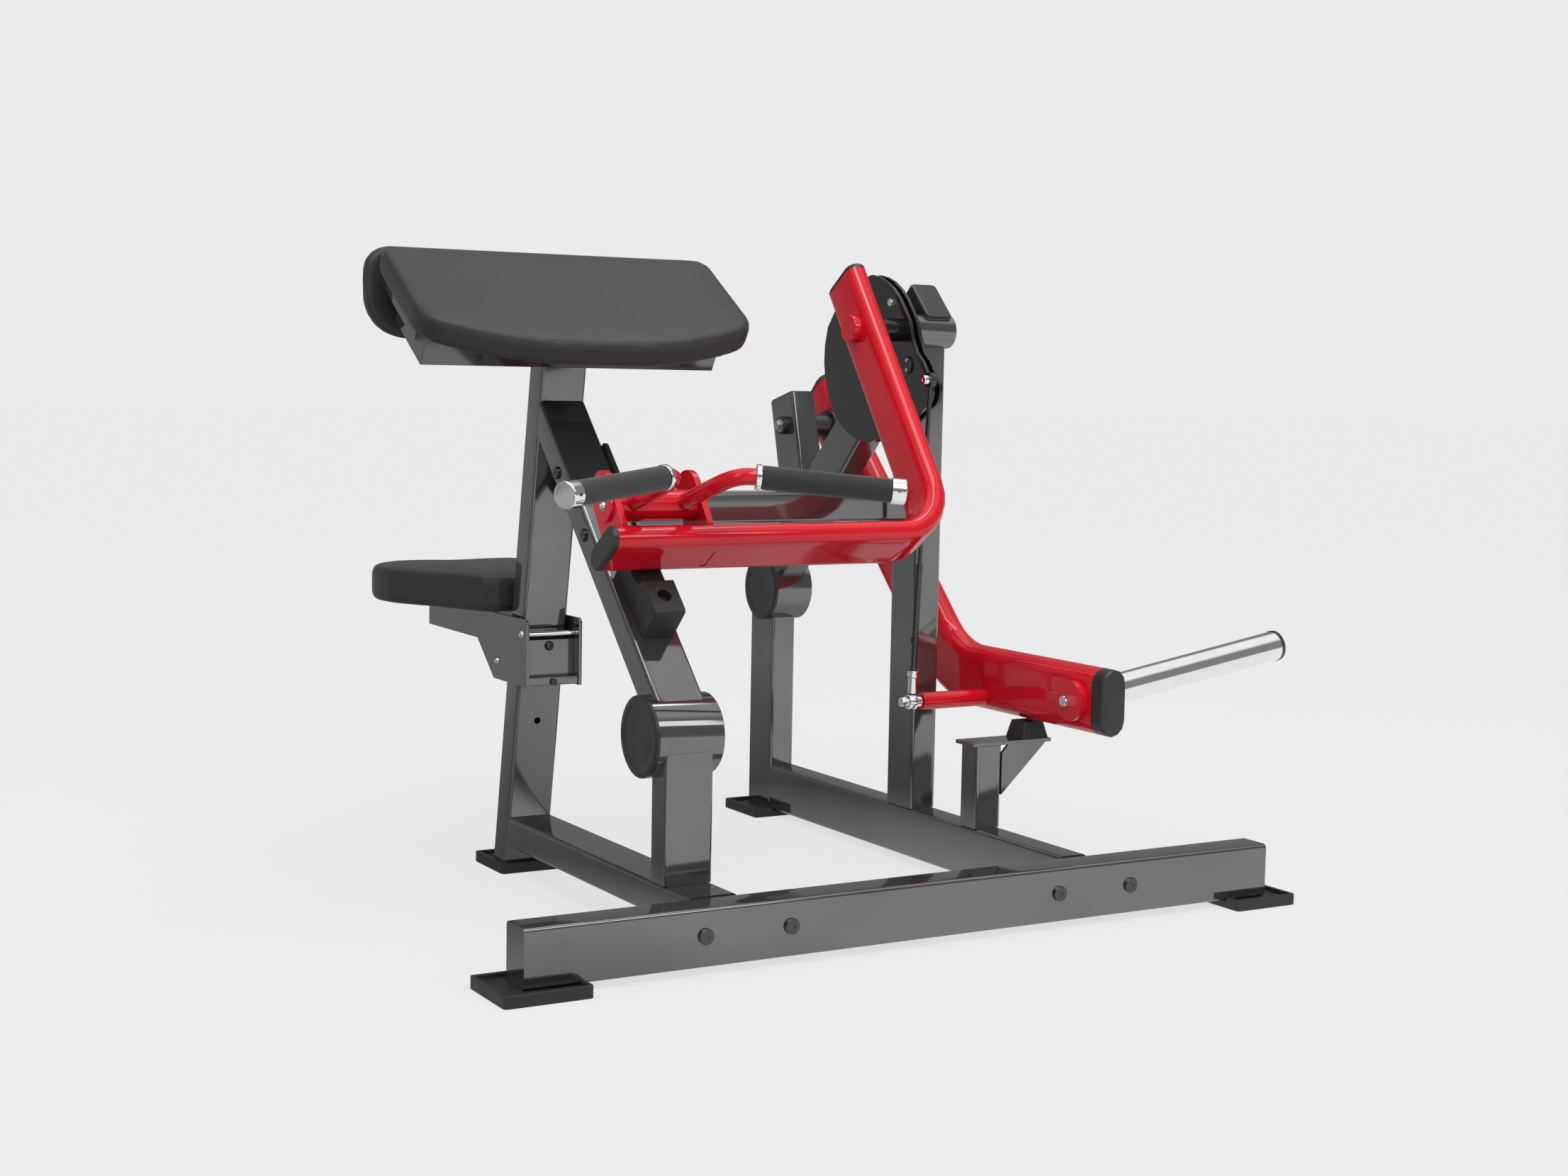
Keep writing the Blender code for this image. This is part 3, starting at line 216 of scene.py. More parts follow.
# ---------------------------------------------------------------- node material tools
class Recipe:
    """A Principled material and short ways to add nodes to it."""

    def __init__(self, name, colour, roughness, metallic=0.0, **inputs):
        self.material = bpy.data.materials.new(name)
        self.material.use_nodes = True
        self.tree = self.material.node_tree
        self.shader = self.tree.nodes["Principled BSDF"]
        self.shader.inputs["Base Color"].default_value = (*colour, 1.0)
        self.shader.inputs["Roughness"].default_value = roughness
        self.shader.inputs["Metallic"].default_value = metallic
        for key, value in inputs.items():
            self.shader.inputs[key.replace("_", " ")].default_value = value
        self.place = self.add("ShaderNodeTexCoord").outputs["Object"]
        self.colour = colour
        self.height = None

    def add(self, kind, **values):
        node = self.tree.nodes.new(kind)
        for key, value in values.items():
            setattr(node, key, value)
        return node

    def link(self, source, target):
        self.tree.links.new(source, target)

    def stretched(self, scale):
        """Object coordinates scaled differently along each axis."""
        mapping = self.add("ShaderNodeMapping")
        mapping.inputs["Scale"].default_value = scale
        self.link(self.place, mapping.inputs["Vector"])
        return mapping.outputs["Vector"]

    def noise(self, scale, detail=3.0, place=None):
        node = self.add("ShaderNodeTexNoise")
        node.inputs["Scale"].default_value = scale
        node.inputs["Detail"].default_value = detail
        self.link(place or self.place, node.inputs["Vector"])
        return node.outputs["Fac"]

    def cells(self, scale):
        node = self.add("ShaderNodeTexVoronoi")
        node.inputs["Scale"].default_value = scale
        self.link(self.place, node.inputs["Vector"])
        return node.outputs["Distance"]

    def remap(self, source, low, high, from_low=0.3, from_high=0.7):
        node = self.add("ShaderNodeMapRange")
        node.inputs["From Min"].default_value = from_low
        node.inputs["From Max"].default_value = from_high
        node.inputs["To Min"].default_value = low
        node.inputs["To Max"].default_value = high
        self.link(source, node.inputs["Value"])
        return node.outputs["Result"]

    def vary_colour(self, source, dark, light):
        """Base colour from dark to light times the recipe's own colour."""
        ramp = self.add("ShaderNodeValToRGB")
        ramp.color_ramp.elements[0].position = 0.3
        ramp.color_ramp.elements[1].position = 0.7
        ramp.color_ramp.elements[0].color = (*[c * dark for c in self.colour], 1.0)
        ramp.color_ramp.elements[1].color = (*[c * light for c in self.colour], 1.0)
        self.link(source, ramp.inputs["Fac"])
        self.link(ramp.outputs["Color"], self.shader.inputs["Base Color"])

    def vary_roughness(self, source, low, high):
        self.link(self.remap(source, low, high), self.shader.inputs["Roughness"])

    def bump(self, source, strength, distance):
        """Stack one more height on the surface."""
        node = self.add("ShaderNodeBump")
        node.inputs["Strength"].default_value = strength
        node.inputs["Distance"].default_value = distance
        self.link(source, node.inputs["Height"])
        if self.height is not None:
            self.link(self.height, node.inputs["Normal"])
        self.height = node.outputs["Normal"]
        self.link(self.height, self.shader.inputs["Normal"])


def gloss_paint(name, colour, roughness, coat, metallic):
    """Gloss enamel: a faint orange peel, slightly uneven gloss and tone."""
    recipe = Recipe(name, colour, roughness, metallic, Coat_Weight=coat, Coat_Roughness=0.03)
    recipe.vary_colour(recipe.noise(7.0, 4.0), 0.93, 1.07)
    recipe.vary_roughness(recipe.noise(14.0, 5.0), roughness * 0.8, roughness * 1.3)
    recipe.bump(recipe.noise(260.0, 2.0), 0.02, 0.0004)
    return recipe.material


def two_tone(name, left, right, plane):
    """Gloss enamel in one colour left of a plane across X and another colour right of it."""
    recipe = Recipe(name, left, 0.12)
    split = recipe.add("ShaderNodeSeparateXYZ")
    recipe.link(recipe.place, split.inputs[0])
    side = recipe.add("ShaderNodeMath", operation="GREATER_THAN")
    side.inputs[1].default_value = plane
    recipe.link(split.outputs["X"], side.inputs[0])
    ramp = recipe.add("ShaderNodeValToRGB")
    ramp.color_ramp.elements[0].color = (*left, 1.0)
    ramp.color_ramp.elements[1].color = (*right, 1.0)
    recipe.link(side.outputs[0], ramp.inputs["Fac"])
    recipe.link(ramp.outputs["Color"], recipe.shader.inputs["Base Color"])
    recipe.bump(recipe.noise(260.0, 2.0), 0.02, 0.0004)
    return recipe.material


def moulded(name, colour, roughness, grain):
    """Moulded plastic or rubber: a fine even grain with small smudges."""
    recipe = Recipe(name, colour, roughness)
    recipe.vary_colour(recipe.noise(22.0, 4.0), 0.88, 1.12)
    recipe.vary_roughness(recipe.noise(30.0, 4.0), roughness * 0.88, roughness * 1.1)
    recipe.bump(recipe.cells(1500.0), grain, 0.0002)
    recipe.bump(recipe.noise(420.0, 3.0), grain * 0.5, 0.0003)
    return recipe.material


def foam(name, colour):
    """Closed-cell foam sleeve: matt, pitted with small open cells."""
    recipe = Recipe(name, colour, 0.82, Sheen_Weight=0.25, Sheen_Roughness=0.5)
    recipe.vary_colour(recipe.noise(60.0, 5.0), 0.8, 1.2)
    recipe.bump(recipe.cells(1100.0), 0.35, 0.0003)
    recipe.bump(recipe.noise(700.0, 4.0), 0.3, 0.0003)
    return recipe.material


def vinyl(name, colour):
    """Upholstery vinyl: pebbled leather grain, with slightly shinier tops to the pebbles."""
    recipe = Recipe(name, colour, 0.46, Sheen_Weight=0.08, Sheen_Roughness=0.4)
    recipe.vary_colour(recipe.noise(9.0, 4.0), 0.9, 1.1)
    pebbles = recipe.cells(620.0)
    recipe.vary_roughness(pebbles, 0.40, 0.56)
    recipe.bump(pebbles, 0.22, 0.0004)
    recipe.bump(recipe.noise(150.0, 4.0), 0.10, 0.0006)
    return recipe.material


def plated(name, colour, roughness):
    """Chrome or zinc: a clean mirror with faint wipe marks."""
    recipe = Recipe(name, colour, roughness, 1.0)
    recipe.vary_colour(recipe.noise(25.0, 3.0), 0.96, 1.03)
    recipe.vary_roughness(recipe.noise(40.0, 5.0), roughness * 0.7, roughness * 1.5)
    recipe.bump(recipe.noise(500.0, 2.0), 0.02, 0.0002)
    return recipe.material


def turned_steel(name, colour, roughness):
    """Machined steel with fine rings left by the tool."""
    recipe = Recipe(name, colour, roughness, 1.0)
    rings = recipe.noise(8.0, 2.0, recipe.stretched((260.0, 260.0, 40.0)))
    recipe.vary_colour(recipe.noise(30.0, 4.0), 0.9, 1.06)
    recipe.vary_roughness(rings, roughness * 0.75, roughness * 1.35)
    recipe.bump(rings, 0.08, 0.0002)
    return recipe.material


GREY = gloss_paint("grey_paint", (0.192, 0.193, 0.197), 0.075, 0.10, 0.88)
BOLT_PAINT = gloss_paint("bolt_paint", (0.085, 0.085, 0.088), 0.12, 0.10, 0.85)
RED_TONE = (0.56, 0.0055, 0.016)
RED = gloss_paint("red_paint", RED_TONE, 0.09, 0.0, 0.0)
SHAFT = two_tone("shaft", RED_TONE, (0.010, 0.009, 0.010), SHAFT_SPLIT)
BLACK = gloss_paint("black_plate", (0.010, 0.009, 0.010), 0.12, 0.3, 0.0)
PLASTIC = moulded("black_plastic", (0.022, 0.022, 0.022), 0.36, 0.12)
RUBBER = moulded("rubber", (0.018, 0.018, 0.018), 0.50, 0.22)
FOAM = foam("grip_foam", (0.015, 0.015, 0.016))
VINYL = vinyl("vinyl", (0.022, 0.022, 0.023))
CHROME = plated("chrome", (0.88, 0.88, 0.89), 0.07)
STEEL = turned_steel("steel", (0.46, 0.46, 0.47), 0.26)
DARK_STEEL = turned_steel("dark_steel", (0.09, 0.09, 0.095), 0.34)
BY_SLOT = {"grey_paint": GREY, "red_paint": RED, "black_plate": BLACK, "black_plastic": PLASTIC,
           "rubber": RUBBER, "chrome": CHROME, "steel": STEEL, "vinyl": VINYL}
BY_NODE = {"handle_pin": RED, "arm_shaft": SHAFT, "weight_pivot_pin": DARK_STEEL,
           "link_rod": DARK_STEEL, "link_ball_end": CHROME}


# ---------------------------------------------------------------- CAD nodes
def smooth_by_angle():
    """Node group that shades smooth, except over edges sharper than SMOOTH_ANGLE."""
    group = bpy.data.node_groups.new("smooth_by_angle", "GeometryNodeTree")
    group.interface.new_socket("Geometry", in_out="INPUT", socket_type="NodeSocketGeometry")
    group.interface.new_socket("Geometry", in_out="OUTPUT", socket_type="NodeSocketGeometry")
    start = group.nodes.new("NodeGroupInput")
    end = group.nodes.new("NodeGroupOutput")
    angle = group.nodes.new("GeometryNodeInputMeshEdgeAngle")
    sharp = group.nodes.new("FunctionNodeCompare")
    sharp.operation = "GREATER_THAN"
    sharp.inputs["B"].default_value = SMOOTH_ANGLE
    faces = group.nodes.new("GeometryNodeSetShadeSmooth")
    edges = group.nodes.new("GeometryNodeSetShadeSmooth")
    edges.domain = "EDGE"
    edges.inputs["Shade Smooth"].default_value = False
    links = group.links
    links.new(start.outputs[0], faces.inputs["Geometry"])
    links.new(faces.outputs[0], edges.inputs["Geometry"])
    links.new(angle.outputs["Unsigned Angle"], sharp.inputs["A"])
    links.new(sharp.outputs["Result"], edges.inputs["Selection"])
    links.new(edges.outputs[0], end.inputs[0])
    return group


SMOOTHER = smooth_by_angle()
BEVELLED = {"left_flange", "right_flange", "stop_bracket", "pad_board", "pad_tray",
            "cam_plate_left", "cam_plate_right", "handle_ear_left", "handle_ear_right",
            "seat_plate_left", "seat_plate_right", "seat_lock_plate", "seat_rack",
            "brace_bumper", "stop_bumper", "foot_front_left", "foot_front_right",
            "foot_rear_left", "foot_rear_right"}


def dress_node(node, material):
    """Material, welded smooth shading and small edge rounds for a CAD node."""
    item = frame["nodes"][node]
    mesh = item.data
    mesh.materials.clear()
    mesh.materials.append(material)
    if "custom_normal" in mesh.attributes:
        mesh.attributes.remove(mesh.attributes["custom_normal"])
    weld = item.modifiers.new("weld", "WELD")
    weld.merge_threshold = MERGE
    if node in BEVELLED:
        bevel = item.modifiers.new("edges", "BEVEL")
        bevel.width = BUMPER_ROUND if node == "brace_bumper" else EDGE_ROUND
        bevel.segments = 3
        bevel.limit_method = "ANGLE"
        bevel.angle_limit = math.radians(60)
    finish_shading(item)


def finish_shading(item):
    """Shade smooth by angle, and keep flat faces flat beside small rounds."""
    modifier = item.modifiers.new("smooth", "NODES")
    modifier.node_group = SMOOTHER
    weighted = item.modifiers.new("normals", "WEIGHTED_NORMAL")
    weighted.keep_sharp = True


def dress_frame():
    for part in frame["record"]["subparts"]:
        node = part["node"]
        dress_node(node, BY_NODE.get(node, BY_SLOT[part["material_slot"]]))


# ---------------------------------------------------------------- mesh tools
def add_piece(name, bm, material, body):
    """Make a filled bmesh into a piece that rides on a body."""
    bmesh.ops.recalc_face_normals(bm, faces=bm.faces)
    mesh = bpy.data.meshes.new(name)
    bm.to_mesh(mesh)
    bm.free()
    mesh.materials.append(material)
    item = bpy.data.objects.new(name, mesh)
    bpy.context.scene.collection.objects.link(item)
    finish_shading(item)
    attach(item, body)
    return item


def circle(radius, count):
    step = 2 * math.pi / count
    return [(radius * math.cos(k * step), radius * math.sin(k * step)) for k in range(count)]


def loft(bm, loops, closed=False):
    """Join loops by quads; the two ends are capped, or if closed joined to each other."""
    rings = [[bm.verts.new(point) for point in loop] for loop in loops]
    count = len(rings[0])
    following = rings[1:]
    if closed:
        following.append(rings[0])
    else:
        bm.faces.new(list(reversed(rings[0])))
        bm.faces.new(rings[-1])
    for first, second in zip(rings, following):
        for i in range(count):
            j = (i + 1) % count
            bm.faces.new((first[i], first[j], second[j], second[i]))


def sides_of(direction):
    """Two unit vectors square to a unit direction and to each other."""
    side_a = direction.orthogonal().normalized()
    return side_a, direction.cross(side_a).normalized()


def lathe(bm, base, direction, profile, count=40):
    """Turned shape: profile is (distance along direction, radius) from one end to the other."""
    direction = direction.normalized()
    side_a, side_b = sides_of(direction)
    loops = []
    for reach, radius in profile:
        middle = base + direction * reach
        loops.append([middle + side_a * a + side_b * b for a, b in circle(radius, count)])
    loft(bm, loops)


def arc_profile(reach, radius, centre_reach, centre_radius, start, stop, steps):
    """Points of an elliptical arc in a lathe profile, angles in degrees."""
    points = []
    for k in range(steps + 1):
        angle = math.radians(start + (stop - start) * k / steps)
        points.append((centre_reach + reach * math.sin(angle),
                       centre_radius + radius * math.cos(angle)))
    return points


# ---------------------------------------------------------------- fixings
def dome_bolt(name, base, direction, radius, body, material):
    """Button-head bolt: a washer, a low dome and a round socket."""
    bm = bmesh.new()
    washer = radius * 1.12
    foot = radius * 0.12
    height = radius * 0.52
    profile = [(0, washer), (radius * 0.10, washer), (foot, radius)]
    profile += arc_profile(height, radius * 0.45, foot, radius * 0.55, 0, 90, 6)
    profile += [(foot + height, radius * 0.42), (foot + height * 0.4, radius * 0.40)]
    lathe(bm, base, direction, profile, 36)
    return add_piece(name, bm, material, body)


def flat_bolt(name, base, direction, radius, body, material):
    """Low round head with a flat top, a broken edge and a shallow tool recess."""
    bm = bmesh.new()
    height = radius * 0.40
    profile = [(0, radius), (height * 0.62, radius), (height * 0.86, radius * 0.97),
               (height, radius * 0.90), (height, radius * 0.30), (height * 0.80, radius * 0.28)]
    lathe(bm, base, direction, profile)
    return add_piece(name, bm, material, body)


def hex_bolt(name, base, direction, radius, body, material, washer=True, depth=0.70):
    """Hexagon head or nut, on a washer or not, its corners chamfered by a shallow cone.

    depth is the head's height as a share of its radius.
    """
    bm = bmesh.new()
    direction = direction.normalized()
    thick = radius * 0.14 if washer else 0.0
    if washer:
        lathe(bm, base, direction, [(0, radius * 1.35), (thick * 0.8, radius * 1.35),
                                    (thick, radius * 1.28)], 36)
    side_a, side_b = sides_of(direction)
    height = radius * depth
    outline = hexagon(radius, SIDE_STEPS)
    loops = [[base + direction * reach + side_a * a + side_b * b for a, b in outline]
             for reach in (thick, thick + height * 0.82)]
    crown = radius * 0.86
    loops.append([base + direction * (thick + height) + side_a * a * crown / math.hypot(a, b)
                  + side_b * b * crown / math.hypot(a, b) for a, b in outline])
    loft(bm, loops)
    return add_piece(name, bm, material, body)


def hexagon(radius, steps_per_side):
    """Hexagon with extra points along each side, so that its crown can be round."""
    corners = circle(radius, 6)
    points = []
    for k in range(6):
        ax, ay = corners[k]
        bx, by = corners[(k + 1) % 6]
        for step in range(steps_per_side):
            t = step / steps_per_side
            points.append((ax + (bx - ax) * t, ay + (by - ay) * t))
    return points


def socket_screw(name, base, direction, radius, body, material):
    """Cap screw: a plain cylinder head with a deep round socket."""
    bm = bmesh.new()
    height = radius * 0.9
    profile = [(0, radius), (height * 0.86, radius), (height, radius * 0.88),
               (height, radius * 0.52), (height * 0.35, radius * 0.50)]
    lathe(bm, base, direction, profile, 28)
    return add_piece(name, bm, material, body)


def ring(name, base, direction, radius, tube_radius, body, material):
    """Torus-shaped bead round an axis."""
    bm = bmesh.new()
    direction = direction.normalized()
    side_a, side_b = sides_of(direction)
    loops = []
    for k in range(RING_STEPS):
        angle = 2 * math.pi * k / RING_STEPS
        out = side_a * math.cos(angle) + side_b * math.sin(angle)
        loops.append([base + out * (radius + a) + direction * b
                      for a, b in circle(tube_radius, BEAD_STEPS)])
    loft(bm, loops, closed=True)
    return add_piece(name, bm, material, body)


def end_plug(name, node, towards, body):
    """Plastic plug with a chamfered edge over the end of a tube."""
    points = vertices(node)
    out = towards.normalized()
    reach = points @ np.array(out)
    corners = [Vector(point) for point in points[reach > reach.max() - END_DEPTH]]
    middle = centre_of(corners)
    bm = bmesh.new()
    for scale, reach in PLUG_PROFILE:
        for corner in corners:
            bm.verts.new(middle + (corner - middle) * scale + out * reach)
    bmesh.ops.remove_doubles(bm, verts=bm.verts, dist=MERGE)
    hull = bmesh.ops.convex_hull(bm, input=bm.verts)
    bmesh.ops.delete(bm, geom=hull["geom_interior"], context="VERTS")
    add_piece(name, bm, PLASTIC, body)


# ---------------------------------------------------------------- details on the frame
def beam_fixings():
    """Bolts through the front beam into the side beams' flanges, with a nut behind each."""
    low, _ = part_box("front_beam")
    for k, along in enumerate(BEAM_BOLTS_ALONG):
        spot = Vector((low.x + along, low.y, low.z + BEAM_BOLT_LIFT))
        flat_bolt(f"beam_bolt_{k + 1}", spot, -AXIS_Y, BEAM_BOLT_R, "frame", BOLT_PAINT)
        flange = "left_flange" if k < 2 else "right_flange"
        back = Vector((spot.x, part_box(flange)[1].y, spot.z))
        hex_bolt(f"beam_nut_{k + 1}", back, AXIS_Y, BEAM_NUT_R, "frame", STEEL, False)


def frame_details():
    """Bolts of the left brace and of the two pivots, and the screw in the stop's bumper."""
    low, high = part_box("left_brace")
    for k, (back, down) in enumerate(BRACE_BOLTS):
        spot = Vector((low.x, high.y - back, high.z - down))
        flat_bolt(f"brace_bolt_{k + 1}", spot, -AXIS_X, BRACE_BOLT_R, "frame", BLACK)
    hex_bolt("weight_pivot_bolt", side_x("weight_pivot_pin", -1), -AXIS_X, PIVOT_BOLT_R, "frame",
             STEEL)
    hex_bolt("weight_pivot_nut", side_x("weight_pivot_pin", 1), AXIS_X, PIVOT_BOLT_R, "frame",
             STEEL)
    hex_bolt("shaft_bolt", side_x("arm_shaft", 1), AXIS_X, PIVOT_BOLT_R, "exercise_arm", STEEL)
    bumper = centre("stop_bumper")
    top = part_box("stop_bumper")[1].z
    socket_screw("bumper_screw", Vector((bumper.x, bumper.y, top - BUMPER_SCREW_SUNK)), AXIS_Z,
                 BUMPER_SCREW_R, "frame", DARK_STEEL)


def tube_plugs():
    """Plugs in the open tops of the slanting brace and of the weight arm's post."""
    end_plug("brace_plug", "right_brace", Vector(BRACE_TOWARDS), "frame")
    end_plug("pivot_plug", "pivot_post", Vector(POST_TOWARDS), "frame")


def seat_details():
    low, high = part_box("seat_lock_plate")
    middle = centre("seat_lock_plate")
    dome_bolt("lock_bolt", Vector((middle.x, low.y + LOCK_BOLT_BACK, high.z - LOCK_BOLT_DOWN)),
              -AXIS_Y, LOCK_BOLT_R, "seat_carriage", DARK_STEEL)
    hex_bolt("lower_bar_bolt", Vector((middle.x, low.y, low.z + BAR_BOLT_LIFT)), -AXIS_Y,
             BAR_BOLT_R, "seat_carriage", DARK_STEEL, False)


# ---------------------------------------------------------------- exercise arm details
def on_cam(place):
    """Point on the left cam plate's face, given as (y, z) from the middle of the shaft."""
    hub = centre("arm_shaft")
    return Vector((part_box("cam_plate_left")[0].x, hub.y + place[0], hub.z + place[1]))


def arm_details():
    hex_bolt("cam_nut", on_cam(CAM_NUT_AT), -AXIS_X, CAM_NUT_R, "exercise_arm", CHROME,
             False)
    button = on_cam(CAM_BUTTON_AT)
    bm = bmesh.new()
    lathe(bm, button, -AXIS_X, [(0, CAM_BUTTON_R), (0.0018, CAM_BUTTON_R),
                                (CAM_BUTTON_THICK, CAM_BUTTON_R - 0.0010)])
    add_piece("cam_button", bm, BLACK, "exercise_arm")
    for k, lift in enumerate((-CAM_SCREW_LIFT, CAM_SCREW_LIFT)):
        spot = button - AXIS_X * CAM_BUTTON_THICK + AXIS_Z * lift
        socket_screw(f"cam_screw_{k + 1}", spot, -AXIS_X, CAM_SCREW_R, "exercise_arm", CHROME)
    # Each hole is drawn as a thin dark steel rim and disc on the plate's face; its dark middle is
    # painted shade for the hole's inside.
    for k, place in enumerate(CAM_HOLES_AT):
        bm = bmesh.new()
        lathe(bm, on_cam(place), -AXIS_X,
              [(0, 0.0034), (0.0004, 0.0032), (0.0004, 0.0022), (0.0001, 0.0021)], 24)
        add_piece(f"cam_hole_painted_shade_{k + 1}", bm, DARK_STEEL, "exercise_arm")
    for name, way in (("left", -1), ("right", 1)):
        dome_bolt(f"handle_screw_{name}", side_x("handle_pin", way), AXIS_X * way,
                  HANDLE_SCREW_R, "exercise_arm", CHROME)


# ---------------------------------------------------------------- handle grips
def grip(side_name, towards):
    """Foam sleeve between a turned collar and a flat metal end."""
    inner, outer = long_axis(f"grip_{side_name}", towards)
    run = (outer - inner).normalized()
    length = (outer - inner).length
    end_start = length - GRIP_END
    foam_grip(side_name, inner, run, length)
    collar = bmesh.new()
    lathe(collar, inner, run, [(0, 0.0132), (0.0004, GRIP_R), (0.0016, GRIP_R + 0.0010),
                               (0.0066, GRIP_R + 0.0010), (0.0082, GRIP_R)], 48)
    add_piece(f"collar_{side_name}", collar, CHROME, "handle_bar")
    end = bmesh.new()
    profile = [(end_start, GRIP_R - 0.0020), (end_start + 0.0006, GRIP_R + 0.0012),
               (end_start + 0.0016, GRIP_R + 0.0018), (length - 0.0030, GRIP_R + 0.0018)]
    profile += arc_profile(0.0022, 0.0022, length - 0.0030, GRIP_R - 0.0004, 0, 90, 5)
    profile += [(length - 0.0010, GRIP_R * 0.88), (length - 0.0018, GRIP_R * 0.60),
                (length - 0.0021, GRIP_R * 0.20)]
    lathe(end, inner, run, profile, 48)
    add_piece(f"grip_end_{side_name}", end, CHROME, "handle_bar")
    screw_side = -AXIS_Y
    across = (screw_side - run * screw_side.dot(run)).normalized()
    spot = inner + run * (length - GRIP_SCREW_BACK) + across * (GRIP_R + 0.0009)
    socket_screw(f"grip_screw_{side_name}", spot, across, GRIP_SCREW_R, "handle_bar", DARK_STEEL)


def foam_grip(side_name, inner, run, length):
    """Sleeve with fine ridges round it and rolled edges, in place of the CAD grip."""
    edge = GRIP_R - FOAM_LIP
    profile = [(0.0085, FOAM_EDGE_R)]
    profile += arc_profile(-FOAM_LIP, FOAM_LIP, 0.0115, edge, 90, 0, 4)
    span = length - FOAM_SHORT
    for k in range(RIDGES * 2 + 1):
        dip = RIDGE_DEPTH if k % 2 else 0.0
        profile.append((FOAM_START + span * k / (RIDGES * 2), GRIP_R - dip))
    profile += arc_profile(FOAM_LIP, FOAM_LIP, length - 0.0252, edge, 0, 90, 4)
    profile += [(length - 0.0220, FOAM_EDGE_R)]
    sleeve = bmesh.new()
    lathe(sleeve, inner, run, profile, 48)
    piece = add_piece(f"foam_{side_name}", sleeve, FOAM, "handle_bar")
    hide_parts(f"grip_{side_name}")


# ---------------------------------------------------------------- weight arm details
def weight_details():
    """Bolt in the horn's boss, and a bead round the horn where its cap starts."""
    hex_bolt("boss_bolt", side_x("horn_boss", -1), -AXIS_X, BOSS_BOLT_R, "weight_arm", CHROME,
             False, BOSS_BOLT_DEPTH)
    root, tip = long_axis("plate_horn", AXIS_X)
    run = (tip - root).normalized()
    reach = (vertices("horn_cap") - np.array(tip)) @ np.array(run)
    ring("horn_lip", tip + run * reach.min(), run, HORN_LIP_R, HORN_BEAD_R, "weight_arm",
         PLASTIC)


def link_details():
    """Nut on the link's ball end, sleeve on its rod's lower end, and stud at its upper end."""
    hex_bolt("ball_nut", side_x("link_ball_end", -1), -AXIS_X, BALL_NUT_R, "link", CHROME,
             False)
    foot, head = long_axis("link_rod", AXIS_Z)
    shank = bmesh.new()
    lathe(shank, foot, head - foot, [(0, 0.0060), (0.0012, 0.0078), (0.0260, 0.0078),
                                     (0.0275, 0.0070), (0.0290, 0.0098), (0.0370, 0.0098),
                                     (0.0385, 0.0086), (0.0385, 0.0079)])
    add_piece("rod_shank", shank, CHROME, "link")
    stud = bmesh.new()
    lathe(stud, side_x("link_pin", 1), -AXIS_X,
          [(0, 0.0080), (0.0200, 0.0080), (0.0216, 0.0072), (0.0216, 0.0030), (0.0205, 0.0028)],
          36)
    piece = add_piece("link_stud", stud, CHROME, "exercise_arm")
    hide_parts("link_pin")


# ---------------------------------------------------------------- cushions
def cushion(node, body, back, name):
    """Foam pad in place of its CAD solid: remeshed, swollen as cloth and smoothed.

    back points out of the side that rests on the board, which stays flat.
    """
    base = shrunk_copy(node, name)
    coarse = apply_remesh(base)
    rest = mesh_points(coarse.data)
    swell(coarse, back)
    settle(coarse, rest)
    coarse.data.materials.clear()
    coarse.data.materials.append(VINYL)
    coarse.data.shade_smooth()
    smoother = coarse.modifiers.new("even", "SMOOTH")
    smoother.factor = 0.5
    smoother.iterations = 1
    fine = coarse.modifiers.new("fine", "SUBSURF")
    fine.levels = 1
    fine.render_levels = 1
    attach(coarse, body)
    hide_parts(node)


def shrunk_copy(node, name):
    """Welded copy of a CAD node, drawn in by CUSHION_INSET all round."""
    bm = bmesh.new()
    bm.from_mesh(frame["nodes"][node].data)
    bmesh.ops.remove_doubles(bm, verts=bm.verts, dist=MERGE)
    bm.normal_update()
    shifts = [v.co - v.normal * CUSHION_INSET for v in bm.verts]
    for vert, place in zip(bm.verts, shifts):
        vert.co = place
    mesh = bpy.data.meshes.new(name)
    bm.to_mesh(mesh)
    bm.free()
    item = bpy.data.objects.new(name, mesh)
    bpy.context.scene.collection.objects.link(item)
    return item


def apply_modifiers(item):
    """Make the evaluated mesh the object's own, and drop the modifiers."""
    graph = bpy.context.evaluated_depsgraph_get()
    mesh = bpy.data.meshes.new_from_object(item.evaluated_get(graph))
    item.modifiers.clear()
    item.data = mesh


def apply_remesh(item):
    """Give an object an even grid of small faces."""
    remesh = item.modifiers.new("even_grid", "REMESH")
    remesh.mode = "VOXEL"
    remesh.voxel_size = VOXEL
    bpy.context.view_layer.update()
    apply_modifiers(item)
    return item


def swell(item, back):
    """Inflate as cloth with the board side pinned, and keep the result."""
    mesh = item.data
    pins = item.vertex_groups.new(name="board")
    held = [v.index for v in mesh.vertices if v.normal.dot(back) > BOARD_SIDE]
    pins.add(held, 1.0, "REPLACE")
    cloth = item.modifiers.new("cloth", "CLOTH")
    settings = cloth.settings
    settings.quality = 5
    settings.mass = 0.3
    settings.tension_stiffness = 25
    settings.compression_stiffness = 25
    settings.shear_stiffness = 10
    settings.bending_stiffness = 2
    settings.use_pressure = True
    settings.uniform_pressure_force = 4
    settings.vertex_group_mass = "board"
    settings.effector_weights.gravity = 0
    cloth.collision_settings.use_collision = False
    cloth.point_cache.frame_start = 1
    cloth.point_cache.frame_end = CLOTH_FRAMES
    scene = bpy.context.scene
    for step in range(1, CLOTH_FRAMES + 1):
        scene.frame_set(step)
    apply_modifiers(item)
    item.vertex_groups.clear()
    scene.frame_set(1)


